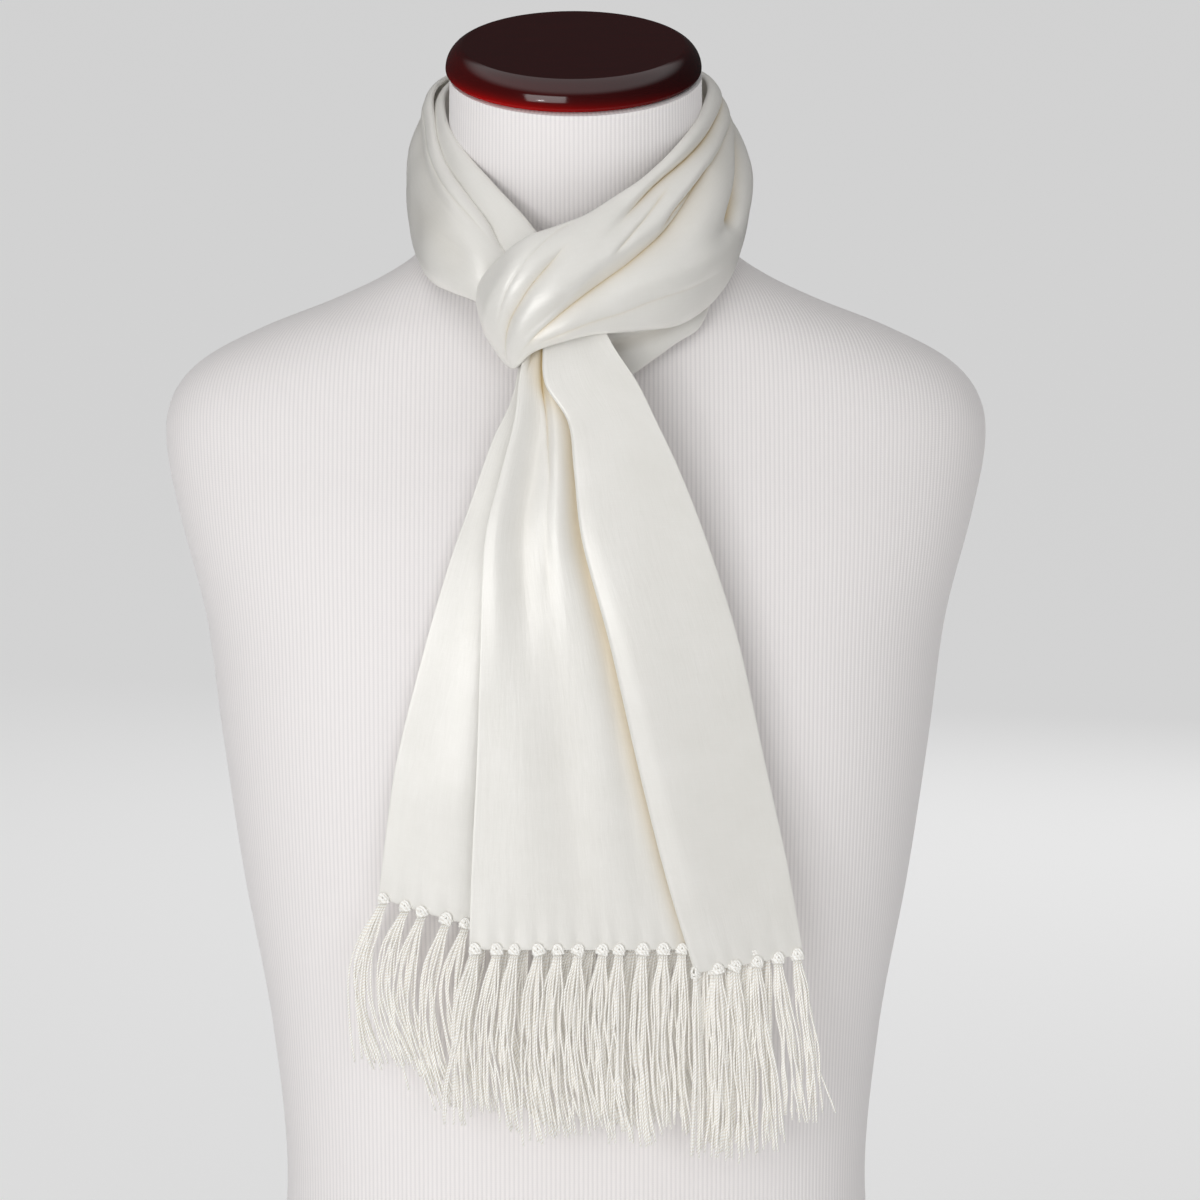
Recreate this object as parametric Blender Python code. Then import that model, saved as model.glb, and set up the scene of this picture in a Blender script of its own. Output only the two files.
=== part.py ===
"""A white evening scarf, doubled and looped round the neck of a limbless dress form.

The scarf is one long strip of silk satin with a knotted fringe on both ends. It is folded in half and
laid round the neck, and its two ends are drawn through the loop. So one strand crosses in front, one
passes behind, and both ends hang down the chest. The form is a smooth torso with a wooden neck cap.

+Z is up, the front is -Y, and +X is to the right of someone who looks at the front. The origin is the
middle of the form's flat base. The tables hold millimetres, and everything else is in metres.
"""

import math
from collections import namedtuple

import bmesh
import bpy
from mathutils import Matrix, Vector

MM = 0.001

# Driving sizes of the cloth. A strip's belly is rounder the lower its fullness, and a fold is crisper the
# higher its sharpness, and keeps its depth nearer to its two ends the lower its fade. The chest takes the
# ends back by CHEST_DROP at CHEST_REACH from its middle.
CLOTH_WALL = 1.4 * MM
SEAM_GAP = 0.3 * MM
BELLY_FULLNESS = 0.65
FOLD_SHARPNESS = 1.6
FOLD_FADE = 0.6
CHEST_DROP = 9 * MM
CHEST_REACH = 100 * MM

# Driving sizes of the fringe. Each tassel hangs from a knot as two locks, which spread, lean and bow.
TASSEL_COUNT = 24
LOCKS_PER_TASSEL = 2
LOCK_CELLS = 2
FRINGE_LENGTH = 90 * MM
STRIP_DEPTH = 1.7 * MM
STRIP_HEIGHT = 3 * MM
KNOT_SWELL = 0.65
LOCK_SPREAD = 10 * MM
LOCK_LEAN = 3 * MM
BOWS = {"front": 1 * MM, "back": 7 * MM}
LOCK_STEPS = ((0.06, 1.0), (0.36, 1.15), (0.7, 0.95), (1.0, 0.45))

# The pleats of the ends: the shares across the front end where it turns back under and where it folds
# over, the share across the back end where it is turned under, and the share that a round turn takes on
# both sides of its middle.
UNDER_SHARE = 0.60
FOLD_SHARE = 0.76
HIDDEN_SHARE = 0.66
TURN_REACH = 0.013
TURN_STEPS = 3

# How finely each stretch of cloth is divided: steps along it, and cells across it apart from its turns
Grid = namedtuple("Grid", "along across")
NECK_WRAP_GRID = Grid(58, 15)
INNER_WRAP_GRID = Grid(24, 3)
UNDER_STRAND_GRID = Grid(15, 6)
FRONT_END_GRID = Grid(22, 22)
BACK_END_GRID = Grid(18, 11)

# Driving sizes of the dress form
CAP_RADIUS = 63 * MM
CAP_THICKNESS = 15 * MM
CAP_CENTRE = Vector((-1, -14, 785)) * MM
SHOULDER_RADIUS = 12.6 * MM
SHOULDER_START = math.radians(20)
CAP_LOW_ROUND = CAP_THICKNESS - SHOULDER_RADIUS * math.cos(SHOULDER_START)
NECK_TILT = math.radians(15)

FINISHES = {
    "satin": ((0.93, 0.91, 0.86), 0.35),
    "fringe_yarn": ((0.92, 0.90, 0.84), 0.45),
    "form_cover": ((0.86, 0.85, 0.86), 0.85),
    "cap_lacquer": ((0.16, 0.02, 0.02), 0.15),
}

# Sections across the outer layer of the wrap: from under the crossing, round the left of the neck, the
# nape and the right, over the front and round the left of the crossing. top and low are the strip's two
# edges, and belly is how far the cloth between them stands out.
Section = namedtuple("Section", "name top low belly")
NECK_WRAP = [
    Section("under_crossing", (-24, -84, 688), (-37, -88, 666), 3),
    Section("left_front", (-35, -80, 698), (-48, -85, 674), 6),
    Section("left_breast", (-43, -73, 711), (-58, -77, 677), 9),
    Section("left_corner", (-54, -60, 724), (-68, -62, 680), 11),
    Section("left_neck", (-65, -38, 738), (-74, -38, 685), 9),
    Section("left_side", (-71, -12, 755), (-79, -8, 694), 7),
    Section("left_nape", (-70, 18, 772), (-79, 24, 706), 7),
    Section("nape_left", (-48, 53, 779), (-59, 61, 713), 7),
    Section("nape", (0, 69, 781), (0, 80, 716), 8),
    Section("nape_right", (49, 51, 780), (63, 59, 713), 9),
    Section("right_side", (66, 12, 775), (79, 10, 700), 12),
    Section("right_neck", (62, -25, 760), (77, -34, 686), 12),
    Section("right_corner", (51, -52, 747), (68, -64, 673), 12),
    Section("right_breast", (35, -71, 733), (51, -86, 663), 12),
    Section("crossing_right", (19, -81, 723), (29, -99, 661), 12),
    Section("crossing", (5, -88, 715), (9, -106, 660), 12),
    Section("crossing_left", (-9, -93, 710), (-6, -110, 657), 12),
    Section("lobe_top", (-23, -97, 705), (-16, -110, 654), 10),
    Section("lobe", (-35, -96, 696), (-23, -107, 650), 8),
    Section("turn", (-45, -90, 684), (-29, -99, 643), 5),
    Section("turn_back", (-47, -80, 673), (-31, -91, 643), 3),
    Section("turn_end", (-38, -75, 668), (-24, -87, 644), 1),
]

# Folds of a strip: each is a valley along it from one section to another. Its place is a share of the way
# from the top edge to the low one, at five even steps. above and below are how far its sides reach across.
Fold = namedtuple("Fold", "name first last depth above below start quarter middle later end")
NECK_WRAP_FOLDS = [
    Fold("left_hollow", 1, 4.6, 3.0, 8, 8, 0.84, 0.56, 0.46, 0.56, 0.78),
    Fold("left_roll", 2, 7, 2.0, 6, 8, 0.22, 0.20, 0.18, 0.18, 0.20),
    Fold("nape_high", 6, 10.6, 4.0, 5, 8, 0.30, 0.30, 0.28, 0.24, 0.20),
    Fold("nape_low", 5.5, 10, 4.5, 6, 9, 0.62, 0.65, 0.66, 0.61, 0.55),
    Fold("first_roll", 9.6, 15.3, 3.6, 5, 5, 0.06, 0.08, 0.16, 0.38, 0.62),
    Fold("main_overlap", 9, 18.2, 4.6, 3, 10, 0.27, 0.24, 0.38, 0.72, 0.98),
    Fold("shoulder_pocket", 9.8, 12.6, 5.0, 5, 6, 0.40, 0.41, 0.48, 0.57, 0.63),
    Fold("low_strip", 10.6, 16.2, 2.8, 4, 7, 0.86, 0.83, 0.80, 0.87, 0.96),
    Fold("thin_crease", 15, 18.8, 2.0, 4, 4, 0.02, 0.06, 0.22, 0.41, 0.62),
    Fold("lobe_crease", 15.2, 19.6, 4.6, 5, 4, 0.08, 0.30, 0.51, 0.70, 0.97),
]

# The inner layer of the doubled strip, which shows between the neck and the outer layer.
INNER_WRAP = [
    Section("under_crossing", (-14, -82, 700), (-25, -82, 684), 1),
    Section("left_front", (-20, -77, 707), (-35, -77, 692), 2),
    Section("left_breast", (-27, -71, 715), (-43, -69, 699), 2),
    Section("left_corner", (-40, -60, 728), (-53, -56, 713), 2),
    Section("left_neck", (-56, -38, 744), (-63, -34, 727), 2),
    Section("left_side", (-65, -12, 758), (-69, -9, 738), 2),
    Section("left_nape", (-64, 17, 772), (-67, 19, 749), 2),
    Section("nape_left", (-43, 49, 781), (-46, 52, 757), 2),
    Section("nape", (0, 62, 784), (0, 65, 759), 2),
    Section("nape_right", (43, 46, 781), (47, 49, 756), 2),
    Section("right_nape", (59, 24, 774), (63, 26, 751), 2),
]

# The strand of the loop that passes behind the hanging ends and shows below the wrap at the right.
UNDER_STRAND = [
    Section("right_neck", (66, -46, 686), (72, -54, 671), 2),
    Section("right_corner", (54, -61, 681), (61, -68, 661), 3),
    Section("right_breast", (40, -71, 676), (49, -76, 653), 4),
    Section("open_right", (27, -77, 671), (36, -80, 644), 4),
    Section("behind_right", (12, -79, 668), (23, -83, 636), 4),
    Section("behind", (-6, -77, 663), (6, -81, 631), 4),
    Section("behind_left", (-20, -75, 659), (-13, -79, 632), 2),
]
UNDER_STRAND_FOLDS = [
    Fold("tuck", 1, 5.5, 3.5, 3, 6, 0.70, 0.60, 0.50, 0.47, 0.45),
]

# Sections down the front end. It has one deep pleat: the cloth runs from its left edge to under_x, back
# to fold_x, and over itself to right_x. fold_drop and right_drop are how much lower the top layer hangs at
# its two edges, layer is the space between layers, and y is where the lowest layer lies.
FrontSection = namedtuple("FrontSection", "height left_x fold_x under_x right_x fold_drop right_drop layer y")
FRONT_END = [
    FrontSection(674, -21, -14, -6, 8, 0, 0, 2.4, -93),
    FrontSection(654, -24, -15, 0, 18, 0, 0, 2.5, -99),
    FrontSection(636, -27, -14, 7, 30, 0, 0, 2.8, -104),
    FrontSection(618, -29, -3, 16, 39, 0, 0, 3.0, -109),
    FrontSection(595, -35, 0, 25, 50, 0, 0, 3.2, -116),
    FrontSection(562, -43, 4, 35, 63, 0, 0, 3.4, -125),
    FrontSection(515, -45, 17, 54, 78, 1, 0, 3.6, -132),
    FrontSection(457, -47, 31, 70, 91, 4, 1, 3.8, -134),
    FrontSection(408, -49.5, 44, 82, 102, 7, 2, 4.0, -135),
    FrontSection(365, -51, 58, 93, 110, 11, 3, 4.0, -136),
]
FRONT_END_FOLDS = [
    Fold("left_fan", 2, 6.5, -2.5, 6, 7, 0.05, 0.04, 0.03, 0.04, 0.05),
    Fold("left_hollow", 2, 7, 2.5, 9, 9, 0.11, 0.11, 0.12, 0.13, 0.14),
    Fold("middle_fan", 1, 7.5, -3.0, 8, 7, 0.25, 0.26, 0.27, 0.28, 0.29),
    Fold("pleat_hollow", 1, 7.5, 4.0, 5, 10, 0.30, 0.32, 0.335, 0.35, 0.36),
    Fold("lower_wave", 5, 9.5, 2.5, 14, 14, 0.20, 0.21, 0.22, 0.23, 0.24),
    Fold("lap_wave", 3, 9.5, -2.5, 14, 14, 0.86, 0.87, 0.88, 0.89, 0.90),
]

# Sections down the back end. It runs from its left edge to turn_x, and is turned under there, back to
# end_x. right_drop is how much lower it is at the turn than at its left edge, sag is how far its middle
# hangs below the line between them, and y is where the upper layer lies.
BackSection = namedtuple("BackSection", "height left_x turn_x end_x right_drop sag layer y")
BACK_END = [
    BackSection(656, -26, -5, -13, 0, 0, 2.3, -89),
    BackSection(644, -27, -3, -13, 0, 0, 2.4, -93),
    BackSection(626, -31, 2, -13, 0, 0, 2.6, -98),
    BackSection(607, -40, 9, -13, 0, 1, 2.9, -104),
    BackSection(579, -50, 18, -14, 1, 2, 3.2, -111),
    BackSection(548, -61, 26, -16, 3, 4, 3.4, -119),
    BackSection(507, -73, 38, -17, 5, 6, 3.6, -126),
    BackSection(457, -85.5, 50, -17, 7, 8, 3.8, -128),
    BackSection(421, -91, 58, -17, 10, 10, 3.8, -128),
    BackSection(388, -95, 64, -16, 13, 11, 3.8, -128),
]
BACK_END_FOLDS = [
    Fold("edge_wave", 4, 9, -1.5, 10, 10, 0.17, 0.165, 0.16, 0.155, 0.15),
]

# Rings round the dress form, from its base to the top of the neck: the half width, and where the ring's
# front and back lie. square is its superellipse exponent, and tilt is the degrees that it leans forwards.
Ring = namedtuple("Ring", "height half_width front back square tilt")
FORM_RINGS = [
    Ring(0, 160, -108, 104, 2.3, 0),
    Ring(60, 164, -110, 108, 2.3, 0),
    Ring(130, 160, -106, 106, 2.3, 0),
    Ring(215, 146, -100, 90, 2.3, 0),
    Ring(300, 152, -105, 92, 2.3, 0),
    Ring(380, 166, -115, 103, 2.4, 0),
    Ring(450, 176, -121, 111, 2.5, 0),
    Ring(510, 184, -118, 115, 2.5, 0),
    Ring(560, 197, -105, 112, 2.5, 0),
    Ring(595, 204, -90, 104, 2.4, 0),
    Ring(618, 201, -79, 95, 2.4, 0),
    Ring(636, 186, -72, 87, 2.3, 0),
    Ring(652, 156, -67, 80, 2.2, 0),
    Ring(666, 121, -64, 74, 2.1, 0),
    Ring(679, 94, -61, 68, 2.1, 0),
    Ring(692, 76, -60, 63, 2.0, 2),
    Ring(708, 66, -60, 57, 2.0, 5),
    Ring(728, 62, -64, 53, 2.0, 8),
    Ring(750, 61, -69, 50, 2.0, 12),
    Ring(776.9, 61, -75, 47, 2.0, 15),
]
FORM_SEGMENTS = 36
ROWS_PER_RING = 2


def clear_scene():
    for item in list(bpy.data.objects):
        bpy.data.objects.remove(item)


def material(name):
    colour, roughness = FINISHES[name]
    made = bpy.data.materials.get(name) or bpy.data.materials.new(name)
    made.use_nodes = True
    made.diffuse_color = (*colour, 1)
    shader = made.node_tree.nodes["Principled BSDF"]
    shader.inputs["Base Color"].default_value = (*colour, 1)
    shader.inputs["Roughness"].default_value = roughness
    shader.inputs["Metallic"].default_value = 0
    return made


def finished(bm, name, finish):
    """The object of one sub-part, made from its bmesh."""
    mesh = bpy.data.meshes.new(name)
    bm.to_mesh(mesh)
    bm.free()
    mesh.shade_smooth()
    mesh.materials.append(material(finish))
    made = bpy.data.objects.new(name, mesh)
    bpy.context.scene.collection.objects.link(made)
    return made


def eased(values, at):
    """A smooth curve through evenly spaced values, which are numbers or vectors."""
    i = min(int(at), len(values) - 2)
    t = at - i
    b, c = values[i], values[i + 1]
    a = values[i - 1] if i > 0 else b + (b - c)
    d = values[i + 2] if i + 2 < len(values) else c + (c - b)
    return 0.5 * (2 * b + (c - a) * t + (2 * a - 5 * b + 4 * c - d) * t**2 + (3 * b - a - 3 * c + d) * t**3)


def column(rows, field):
    """One column of a table in metres, as numbers, or as vectors where its cells are points."""
    cells = [getattr(row, field) for row in rows]
    return [Vector(cell) * MM if isinstance(cell, tuple) else cell * MM for cell in cells]


def fold_offset(folds, at, share, width):
    """How far the folds push a strip of this width in, at a section and a share of the way across."""
    total = 0.0
    for fold in folds:
        run = (at - fold.first) / (fold.last - fold.first)
        if not 0 < run < 1:
            continue
        stations = [fold.start, fold.quarter, fold.middle, fold.later, fold.end]
        away = (share - eased(stations, run * 4)) * width
        reach = (fold.below if away > 0 else fold.above) * MM
        fade = math.sin(math.pi * run) ** FOLD_FADE
        total -= fold.depth * MM * fade * math.exp(-(abs(away / reach) ** FOLD_SHARPNESS))
    return total


def strip_surface(rows, folds=()):
    """A function from a section and a share across to a point of a strip given by its two edges."""
    top, low, belly = (column(rows, field) for field in ("top", "low", "belly"))
    look = 0.05

    def middle(at):
        return eased(top, at).lerp(eased(low, at), 0.5)

    def point(at, share):
        along = middle(min(at + look, len(rows) - 1)) - middle(max(at - look, 0))
        across = eased(low, at) - eased(top, at)
        out = along.cross(across).normalized()
        bulge = eased(belly, at) * math.sin(math.pi * share) ** BELLY_FULLNESS
        return eased(top, at) + across * share + out * (bulge + fold_offset(folds, at, share, across.length))

    return point


def ramp(value):
    """A soft step from 0 to 1."""
    held = min(max(value, 0), 1)
    return held * held * (3 - 2 * held)


def chest_round(x):
    """How far the roundness of the chest takes a hanging end back, at this x."""
    return CHEST_DROP * (x / CHEST_REACH) ** 2


def layered(share, edges, turns, layer):
    """Where a share across cloth in layers lies: its x, and its level, which is 0, 1 or 2 on a layer.

    edges are the places where the cloth starts, turns and ends. Each turn between two layers is a half
    circle, and turns are the shares at their middles.
    """
    radius = layer / 2
    start_x, start_share = edges[0], 0
    for level, (turn, before, edge) in enumerate(zip(turns, edges, edges[1:])):
        side = math.copysign(radius, edge - before)
        centre = edge - side
        if share < turn - TURN_REACH:
            run = (share - start_share) / (turn - TURN_REACH - start_share)
            return start_x + (centre - start_x) * run, level
        if share < turn + TURN_REACH:
            angle = (share - turn) / TURN_REACH * math.pi / 2
            return centre + side * math.cos(angle), level + 0.5 + 0.5 * math.sin(angle)
        start_x, start_share = centre, turn + TURN_REACH
    run = (share - start_share) / (1 - start_share)
    return start_x + (edges[-1] - start_x) * run, len(turns)


def front_end_surface():
    """The front end: three layers, each on top of the last."""
    columns = {field: column(FRONT_END, field) for field in FrontSection._fields}

    def point(at, share):
        row = FrontSection(*(eased(columns[field], at) for field in FrontSection._fields))
        edges = (row.left_x, row.under_x, row.fold_x, row.right_x)
        x, level = layered(share, edges, (UNDER_SHARE, FOLD_SHARE), row.layer)
        drop = ramp((share - UNDER_SHARE - TURN_REACH) / (FOLD_SHARE - UNDER_SHARE - 2 * TURN_REACH))
        slope = (row.right_drop - row.fold_drop) * max(share - FOLD_SHARE, 0) / (1 - FOLD_SHARE)
        width = (row.under_x - row.left_x) / UNDER_SHARE
        y = row.y - level * row.layer + chest_round(x) - fold_offset(FRONT_END_FOLDS, at, share, width)
        return Vector((x, y, row.height - drop * row.fold_drop - slope))

    return point


def back_end_surface():
    """The back end: one layer that shows, and one turned under it."""
    columns = {field: column(BACK_END, field) for field in BackSection._fields}

    def point(at, share):
        row = BackSection(*(eased(columns[field], at) for field in BackSection._fields))
        x, level = layered(share, (row.left_x, row.turn_x, row.end_x), (HIDDEN_SHARE,), row.layer)
        reach = (x - row.left_x) / (row.turn_x - row.left_x)
        width = (row.turn_x - row.left_x) / HIDDEN_SHARE
        y = row.y + level * row.layer + chest_round(x) - fold_offset(BACK_END_FOLDS, at, share, width)
        return Vector((x, y, row.height - row.right_drop * reach - row.sag * 4 * reach * (1 - reach)))

    return point


def even_shares(count):
    return [i / count for i in range(count + 1)]


def pleat_shares(count, turns):
    """Shares across a pleated end: even ones on its layers, and closer ones round its turns."""
    steps = range(-TURN_STEPS, TURN_STEPS + 1)
    round_turns = [turn + TURN_REACH * step / TURN_STEPS for turn in turns for step in steps]
    clear = 2 * TURN_REACH
    between = [share for share in even_shares(count) if all(abs(share - turn) > clear for turn in turns)]
    return sorted(round_turns + between)


def cloth(name, surface, last, steps, shares):
    """A stretch of cloth: a grid laid on its surface, from the first section to the last, with a wall."""
    across = len(shares) - 1
    bm = bmesh.new()
    bmesh.ops.create_grid(bm, x_segments=steps, y_segments=across, size=1)
    for vert in bm.verts:
        share = shares[round(across * (vert.co.y + 1) / 2)]
        vert.co = surface(last * (vert.co.x + 1) / 2, share)
    bmesh.ops.reverse_faces(bm, faces=bm.faces)
    made = finished(bm, name, "satin")
    wall = made.modifiers.new("wall", "SOLIDIFY")
    wall.thickness = CLOTH_WALL
    wall.offset = 0
    return made


def spaced(points, count):
    """The line through these points, cut into equal steps."""
    reach = [0.0]
    for a, b in zip(points, points[1:]):
        reach.append(reach[-1] + (b - a).length)
    made = []
    i = 0
    for step in range(count + 1):
        want = reach[-1] * step / count
        while i < len(points) - 2 and reach[i + 1] < want:
            i += 1
        made.append(points[i].lerp(points[i + 1], (want - reach[i]) / (reach[i + 1] - reach[i])))
    return made


def lock_shift(share, reach, bow):
    """Where a lock has swung to, at its place along the hem and its share of the way down."""
    outward = (share - 0.5) * LOCK_SPREAD * math.sin(math.pi * reach * 0.8)
    lean = LOCK_LEAN * reach**1.5 * math.sin(9 * share - 0.9)
    swing = bow * (0.8 * reach**2 - math.sin(math.pi * reach**0.9))
    return Vector((outward + lean + swing, 0, 0))


def lock_length(index, share):
    """The locks' uneven length, shortest at the hem's two ends."""
    uneven = 0.05 * math.sin(2.4 * index) + 0.03 * math.sin(5.1 * index + 1)
    return FRINGE_LENGTH * (1 + uneven - 0.10 * (2 * share - 1) ** 4)


def fringe(name, surface, last, shares, bow):
    """The tassels of one end: a narrow strip just below the hem, with the locks drawn down out of it.

    shares are those of the cloth's own grid, so that the strip runs along the very edge of the wall.
    """
    locks = TASSEL_COUNT * LOCKS_PER_TASSEL
    cells = locks * LOCK_CELLS
    line = spaced([surface(last, share) for share in shares], cells)
    top = Vector((0, 0, -2 * SEAM_GAP))

    def corners(i):
        """The strip's section, which swells to the head of a knot in each tassel, but not in a tight turn."""
        along = line[min(i + 1, cells)] - line[max(i - 1, 0)]
        straight = ramp(along.length / (2 * (line[1] - line[0]).length) * 5 - 4)
        swell = 1 + KNOT_SWELL * abs(math.sin(math.pi * i / (LOCKS_PER_TASSEL * LOCK_CELLS))) * straight
        out = Vector((along.y, -along.x, 0)).normalized() * swell * STRIP_DEPTH / 2
        low = top + Vector((0, 0, -STRIP_HEIGHT * swell))
        return [line[i] + top + out, line[i] + top - out, line[i] + low - out, line[i] + low + out]

    bm = bmesh.new()
    end = bm.faces.new([bm.verts.new(place) for place in corners(0)])
    roots = []
    for i in range(1, cells + 1):
        end = bmesh.ops.extrude_discrete_faces(bm, faces=[end])["faces"][0]
        fresh = list(end.verts)
        for vert, place in zip(fresh, corners(i)):
            vert.co = place
        if i % LOCK_CELLS == 1:
            under = [face for face in fresh[2].link_faces if fresh[3] in face.verts and face != end]
            roots.append(under[0])
    bmesh.ops.holes_fill(bm, edges=[edge for edge in bm.edges if edge.is_boundary])

    for index, root in enumerate(roots):
        share = (index + 0.5) / locks
        length = lock_length(index, share)
        places = [vert.co.copy() for vert in root.verts]
        middle = sum(places, Vector()) / len(places)
        face = root
        for reach, size in LOCK_STEPS:
            face = bmesh.ops.extrude_discrete_faces(bm, faces=[face])["faces"][0]
            centre = middle + lock_shift(share, reach, bow) + Vector((0, 0, -length * reach))
            for vert, place in zip(face.verts, places):
                spread = place - middle
                vert.co = centre + Vector((spread.x, spread.y, 0)) * size
    bmesh.ops.recalc_face_normals(bm, faces=bm.faces)
    return finished(bm, name, "fringe_yarn")


def ring_place(ring, turn):
    """A point of a superelliptic ring, this share of the way round it."""
    angle = math.tau * turn
    power = 2 / ring.square
    x = math.copysign(abs(math.cos(angle)) ** power, math.cos(angle)) * ring.half_width
    y = math.copysign(abs(math.sin(angle)) ** power, math.sin(angle)) * (ring.back - ring.front) / 2
    rise = y * math.tan(math.radians(ring.tilt))
    return Vector((x, y + (ring.front + ring.back) / 2, ring.height + rise)) * MM


def dress_form():
    """The torso and neck: the lowest ring drawn up through the table's rings, and closed at both ends."""
    bm = bmesh.new()
    bmesh.ops.create_circle(bm, segments=FORM_SEGMENTS, radius=1)
    bm.verts.ensure_lookup_table()
    edges = list(bm.edges)
    places = [vert.co.copy() for vert in bm.verts]
    turns = {vert: math.atan2(place.y, place.x) / math.tau for vert, place in zip(bm.verts, places)}
    columns = {field: [getattr(ring, field) for ring in FORM_RINGS] for field in Ring._fields}
    rows = [i / ROWS_PER_RING for i in range(ROWS_PER_RING * (len(FORM_RINGS) - 1) + 1)]
    for vert, turn in turns.items():
        vert.co = ring_place(FORM_RINGS[0], turn)
    for at in rows[1:]:
        made = bmesh.ops.extrude_edge_only(bm, edges=edges)["geom"]
        edges = [item for item in made if isinstance(item, bmesh.types.BMEdge)]
        verts = [item for item in made if isinstance(item, bmesh.types.BMVert)]
        ring = Ring(*(eased(columns[field], at) for field in Ring._fields))
        fresh = {}
        for vert in verts:
            below = next(edge.other_vert(vert) for edge in vert.link_edges if edge.other_vert(vert) in turns)
            fresh[vert] = turns[below]
        for vert, turn in fresh.items():
            vert.co = ring_place(ring, turn)
        turns = fresh
    bmesh.ops.holes_fill(bm, edges=[edge for edge in bm.edges if edge.is_boundary])
    bmesh.ops.recalc_face_normals(bm, faces=bm.faces)
    return finished(bm, "dress_form", "form_cover")


def arc(centre, radius, start, end, steps):
    """An arc in the XZ plane, as points."""
    angles = [start + (end - start) * step / steps for step in range(steps + 1)]
    return [Vector((centre[0] + radius * math.cos(a), 0, centre[1] + radius * math.sin(a))) for a in angles]


def neck_cap():
    """The turned cap: a flat top, a round shoulder that starts at an edge, and a small round below."""
    half = CAP_THICKNESS / 2
    widest = CAP_LOW_ROUND - half
    profile = [Vector((0, 0, -half))]
    profile += arc((CAP_RADIUS - CAP_LOW_ROUND, widest), CAP_LOW_ROUND, -math.pi / 2, 0, 2)
    profile += arc((CAP_RADIUS - SHOULDER_RADIUS, widest), SHOULDER_RADIUS, 0, math.pi / 2 - SHOULDER_START, 5)
    profile += [Vector((0, 0, half))]
    bm = bmesh.new()
    verts = [bm.verts.new(place) for place in profile]
    edges = [bm.edges.new(pair) for pair in zip(verts, verts[1:])]
    bmesh.ops.spin(
        bm, geom=verts + edges, cent=(0, 0, 0), axis=(0, 0, 1), angle=math.tau, steps=FORM_SEGMENTS, use_merge=True
    )
    bmesh.ops.remove_doubles(bm, verts=bm.verts, dist=0.01 * MM)
    bmesh.ops.recalc_face_normals(bm, faces=bm.faces)
    bmesh.ops.rotate(bm, verts=bm.verts, cent=(0, 0, 0), matrix=Matrix.Rotation(NECK_TILT, 3, "X"))
    bmesh.ops.translate(bm, verts=bm.verts, vec=CAP_CENTRE)
    made = finished(bm, "neck_cap", "cap_lacquer")
    made.data.set_sharp_from_angle(angle=math.radians(18))
    return made


def main():
    clear_scene()
    dress_form()
    neck_cap()
    for name, rows, folds, grid in (
        ("neck_wrap", NECK_WRAP, NECK_WRAP_FOLDS, NECK_WRAP_GRID),
        ("inner_wrap", INNER_WRAP, [], INNER_WRAP_GRID),
        ("under_strand", UNDER_STRAND, UNDER_STRAND_FOLDS, UNDER_STRAND_GRID),
    ):
        cloth(name, strip_surface(rows, folds), len(rows) - 1, grid.along, even_shares(grid.across))
    for name, rows, surface, turns, grid in (
        ("front", FRONT_END, front_end_surface(), (UNDER_SHARE, FOLD_SHARE), FRONT_END_GRID),
        ("back", BACK_END, back_end_surface(), (HIDDEN_SHARE,), BACK_END_GRID),
    ):
        shares = pleat_shares(grid.across, turns)
        cloth(f"{name}_end", surface, len(rows) - 1, grid.along, shares)
        fringe(f"fringe_{name}", surface, len(rows) - 1, shares, BOWS[name])


if __name__ == "__main__":
    main()
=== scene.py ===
# %% [markdown]
# # A white evening scarf on a dress form
#
# The real scarf is one long strip of ivory silk satin with a knotted fringe on both ends. It is folded in
# half, laid round the neck, and its two ends are drawn through the loop. This lesson gives each stretch of
# it its folds, weave and sheen, ties the fringe, and covers the dress form that it rests on.
#
# The solid model already says where everything is. It is loaded first, and each piece made here takes the
# place of one of its solids, in the same metres and on the same axes.

import math
import random
from collections import namedtuple

import bmesh
import bpy
from mathutils import Matrix, Vector, noise


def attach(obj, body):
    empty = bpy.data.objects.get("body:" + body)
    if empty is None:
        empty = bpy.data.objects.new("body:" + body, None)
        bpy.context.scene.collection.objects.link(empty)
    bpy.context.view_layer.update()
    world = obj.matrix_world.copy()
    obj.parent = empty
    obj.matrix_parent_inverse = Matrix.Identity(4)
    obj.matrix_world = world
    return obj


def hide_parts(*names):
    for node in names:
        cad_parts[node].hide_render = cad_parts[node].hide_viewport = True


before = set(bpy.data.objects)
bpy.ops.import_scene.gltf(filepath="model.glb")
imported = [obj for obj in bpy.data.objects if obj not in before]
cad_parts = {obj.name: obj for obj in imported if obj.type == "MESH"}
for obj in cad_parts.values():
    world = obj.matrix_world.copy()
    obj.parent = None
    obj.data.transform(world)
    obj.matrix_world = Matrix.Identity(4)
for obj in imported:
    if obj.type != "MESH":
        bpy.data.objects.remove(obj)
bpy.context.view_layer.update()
MM = 0.001

# %% [markdown]
# ## Curves through short tables
#
# Draped cloth has no edges to measure, so a tailor would describe it by a few places along it. Each table
# below has one row for a place, and a Catmull-Rom curve gives everything in between. The curve goes through
# its points, unlike a Bezier with handles, so a row can be read straight off the table.

# %% Read a smooth curve from a table
def eased(values, at):
    """A smooth curve through evenly spaced values, which are numbers or vectors."""
    i = min(max(int(at), 0), len(values) - 2)
    t = at - i
    b, c = values[i], values[i + 1]
    a = values[i - 1] if i > 0 else b + (b - c)
    d = values[i + 2] if i + 2 < len(values) else c + (c - b)
    return 0.5 * (2 * b + (c - a) * t + (2 * a - 5 * b + 4 * c - d) * t**2 + (3 * b - a - 3 * c + d) * t**3)


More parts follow.
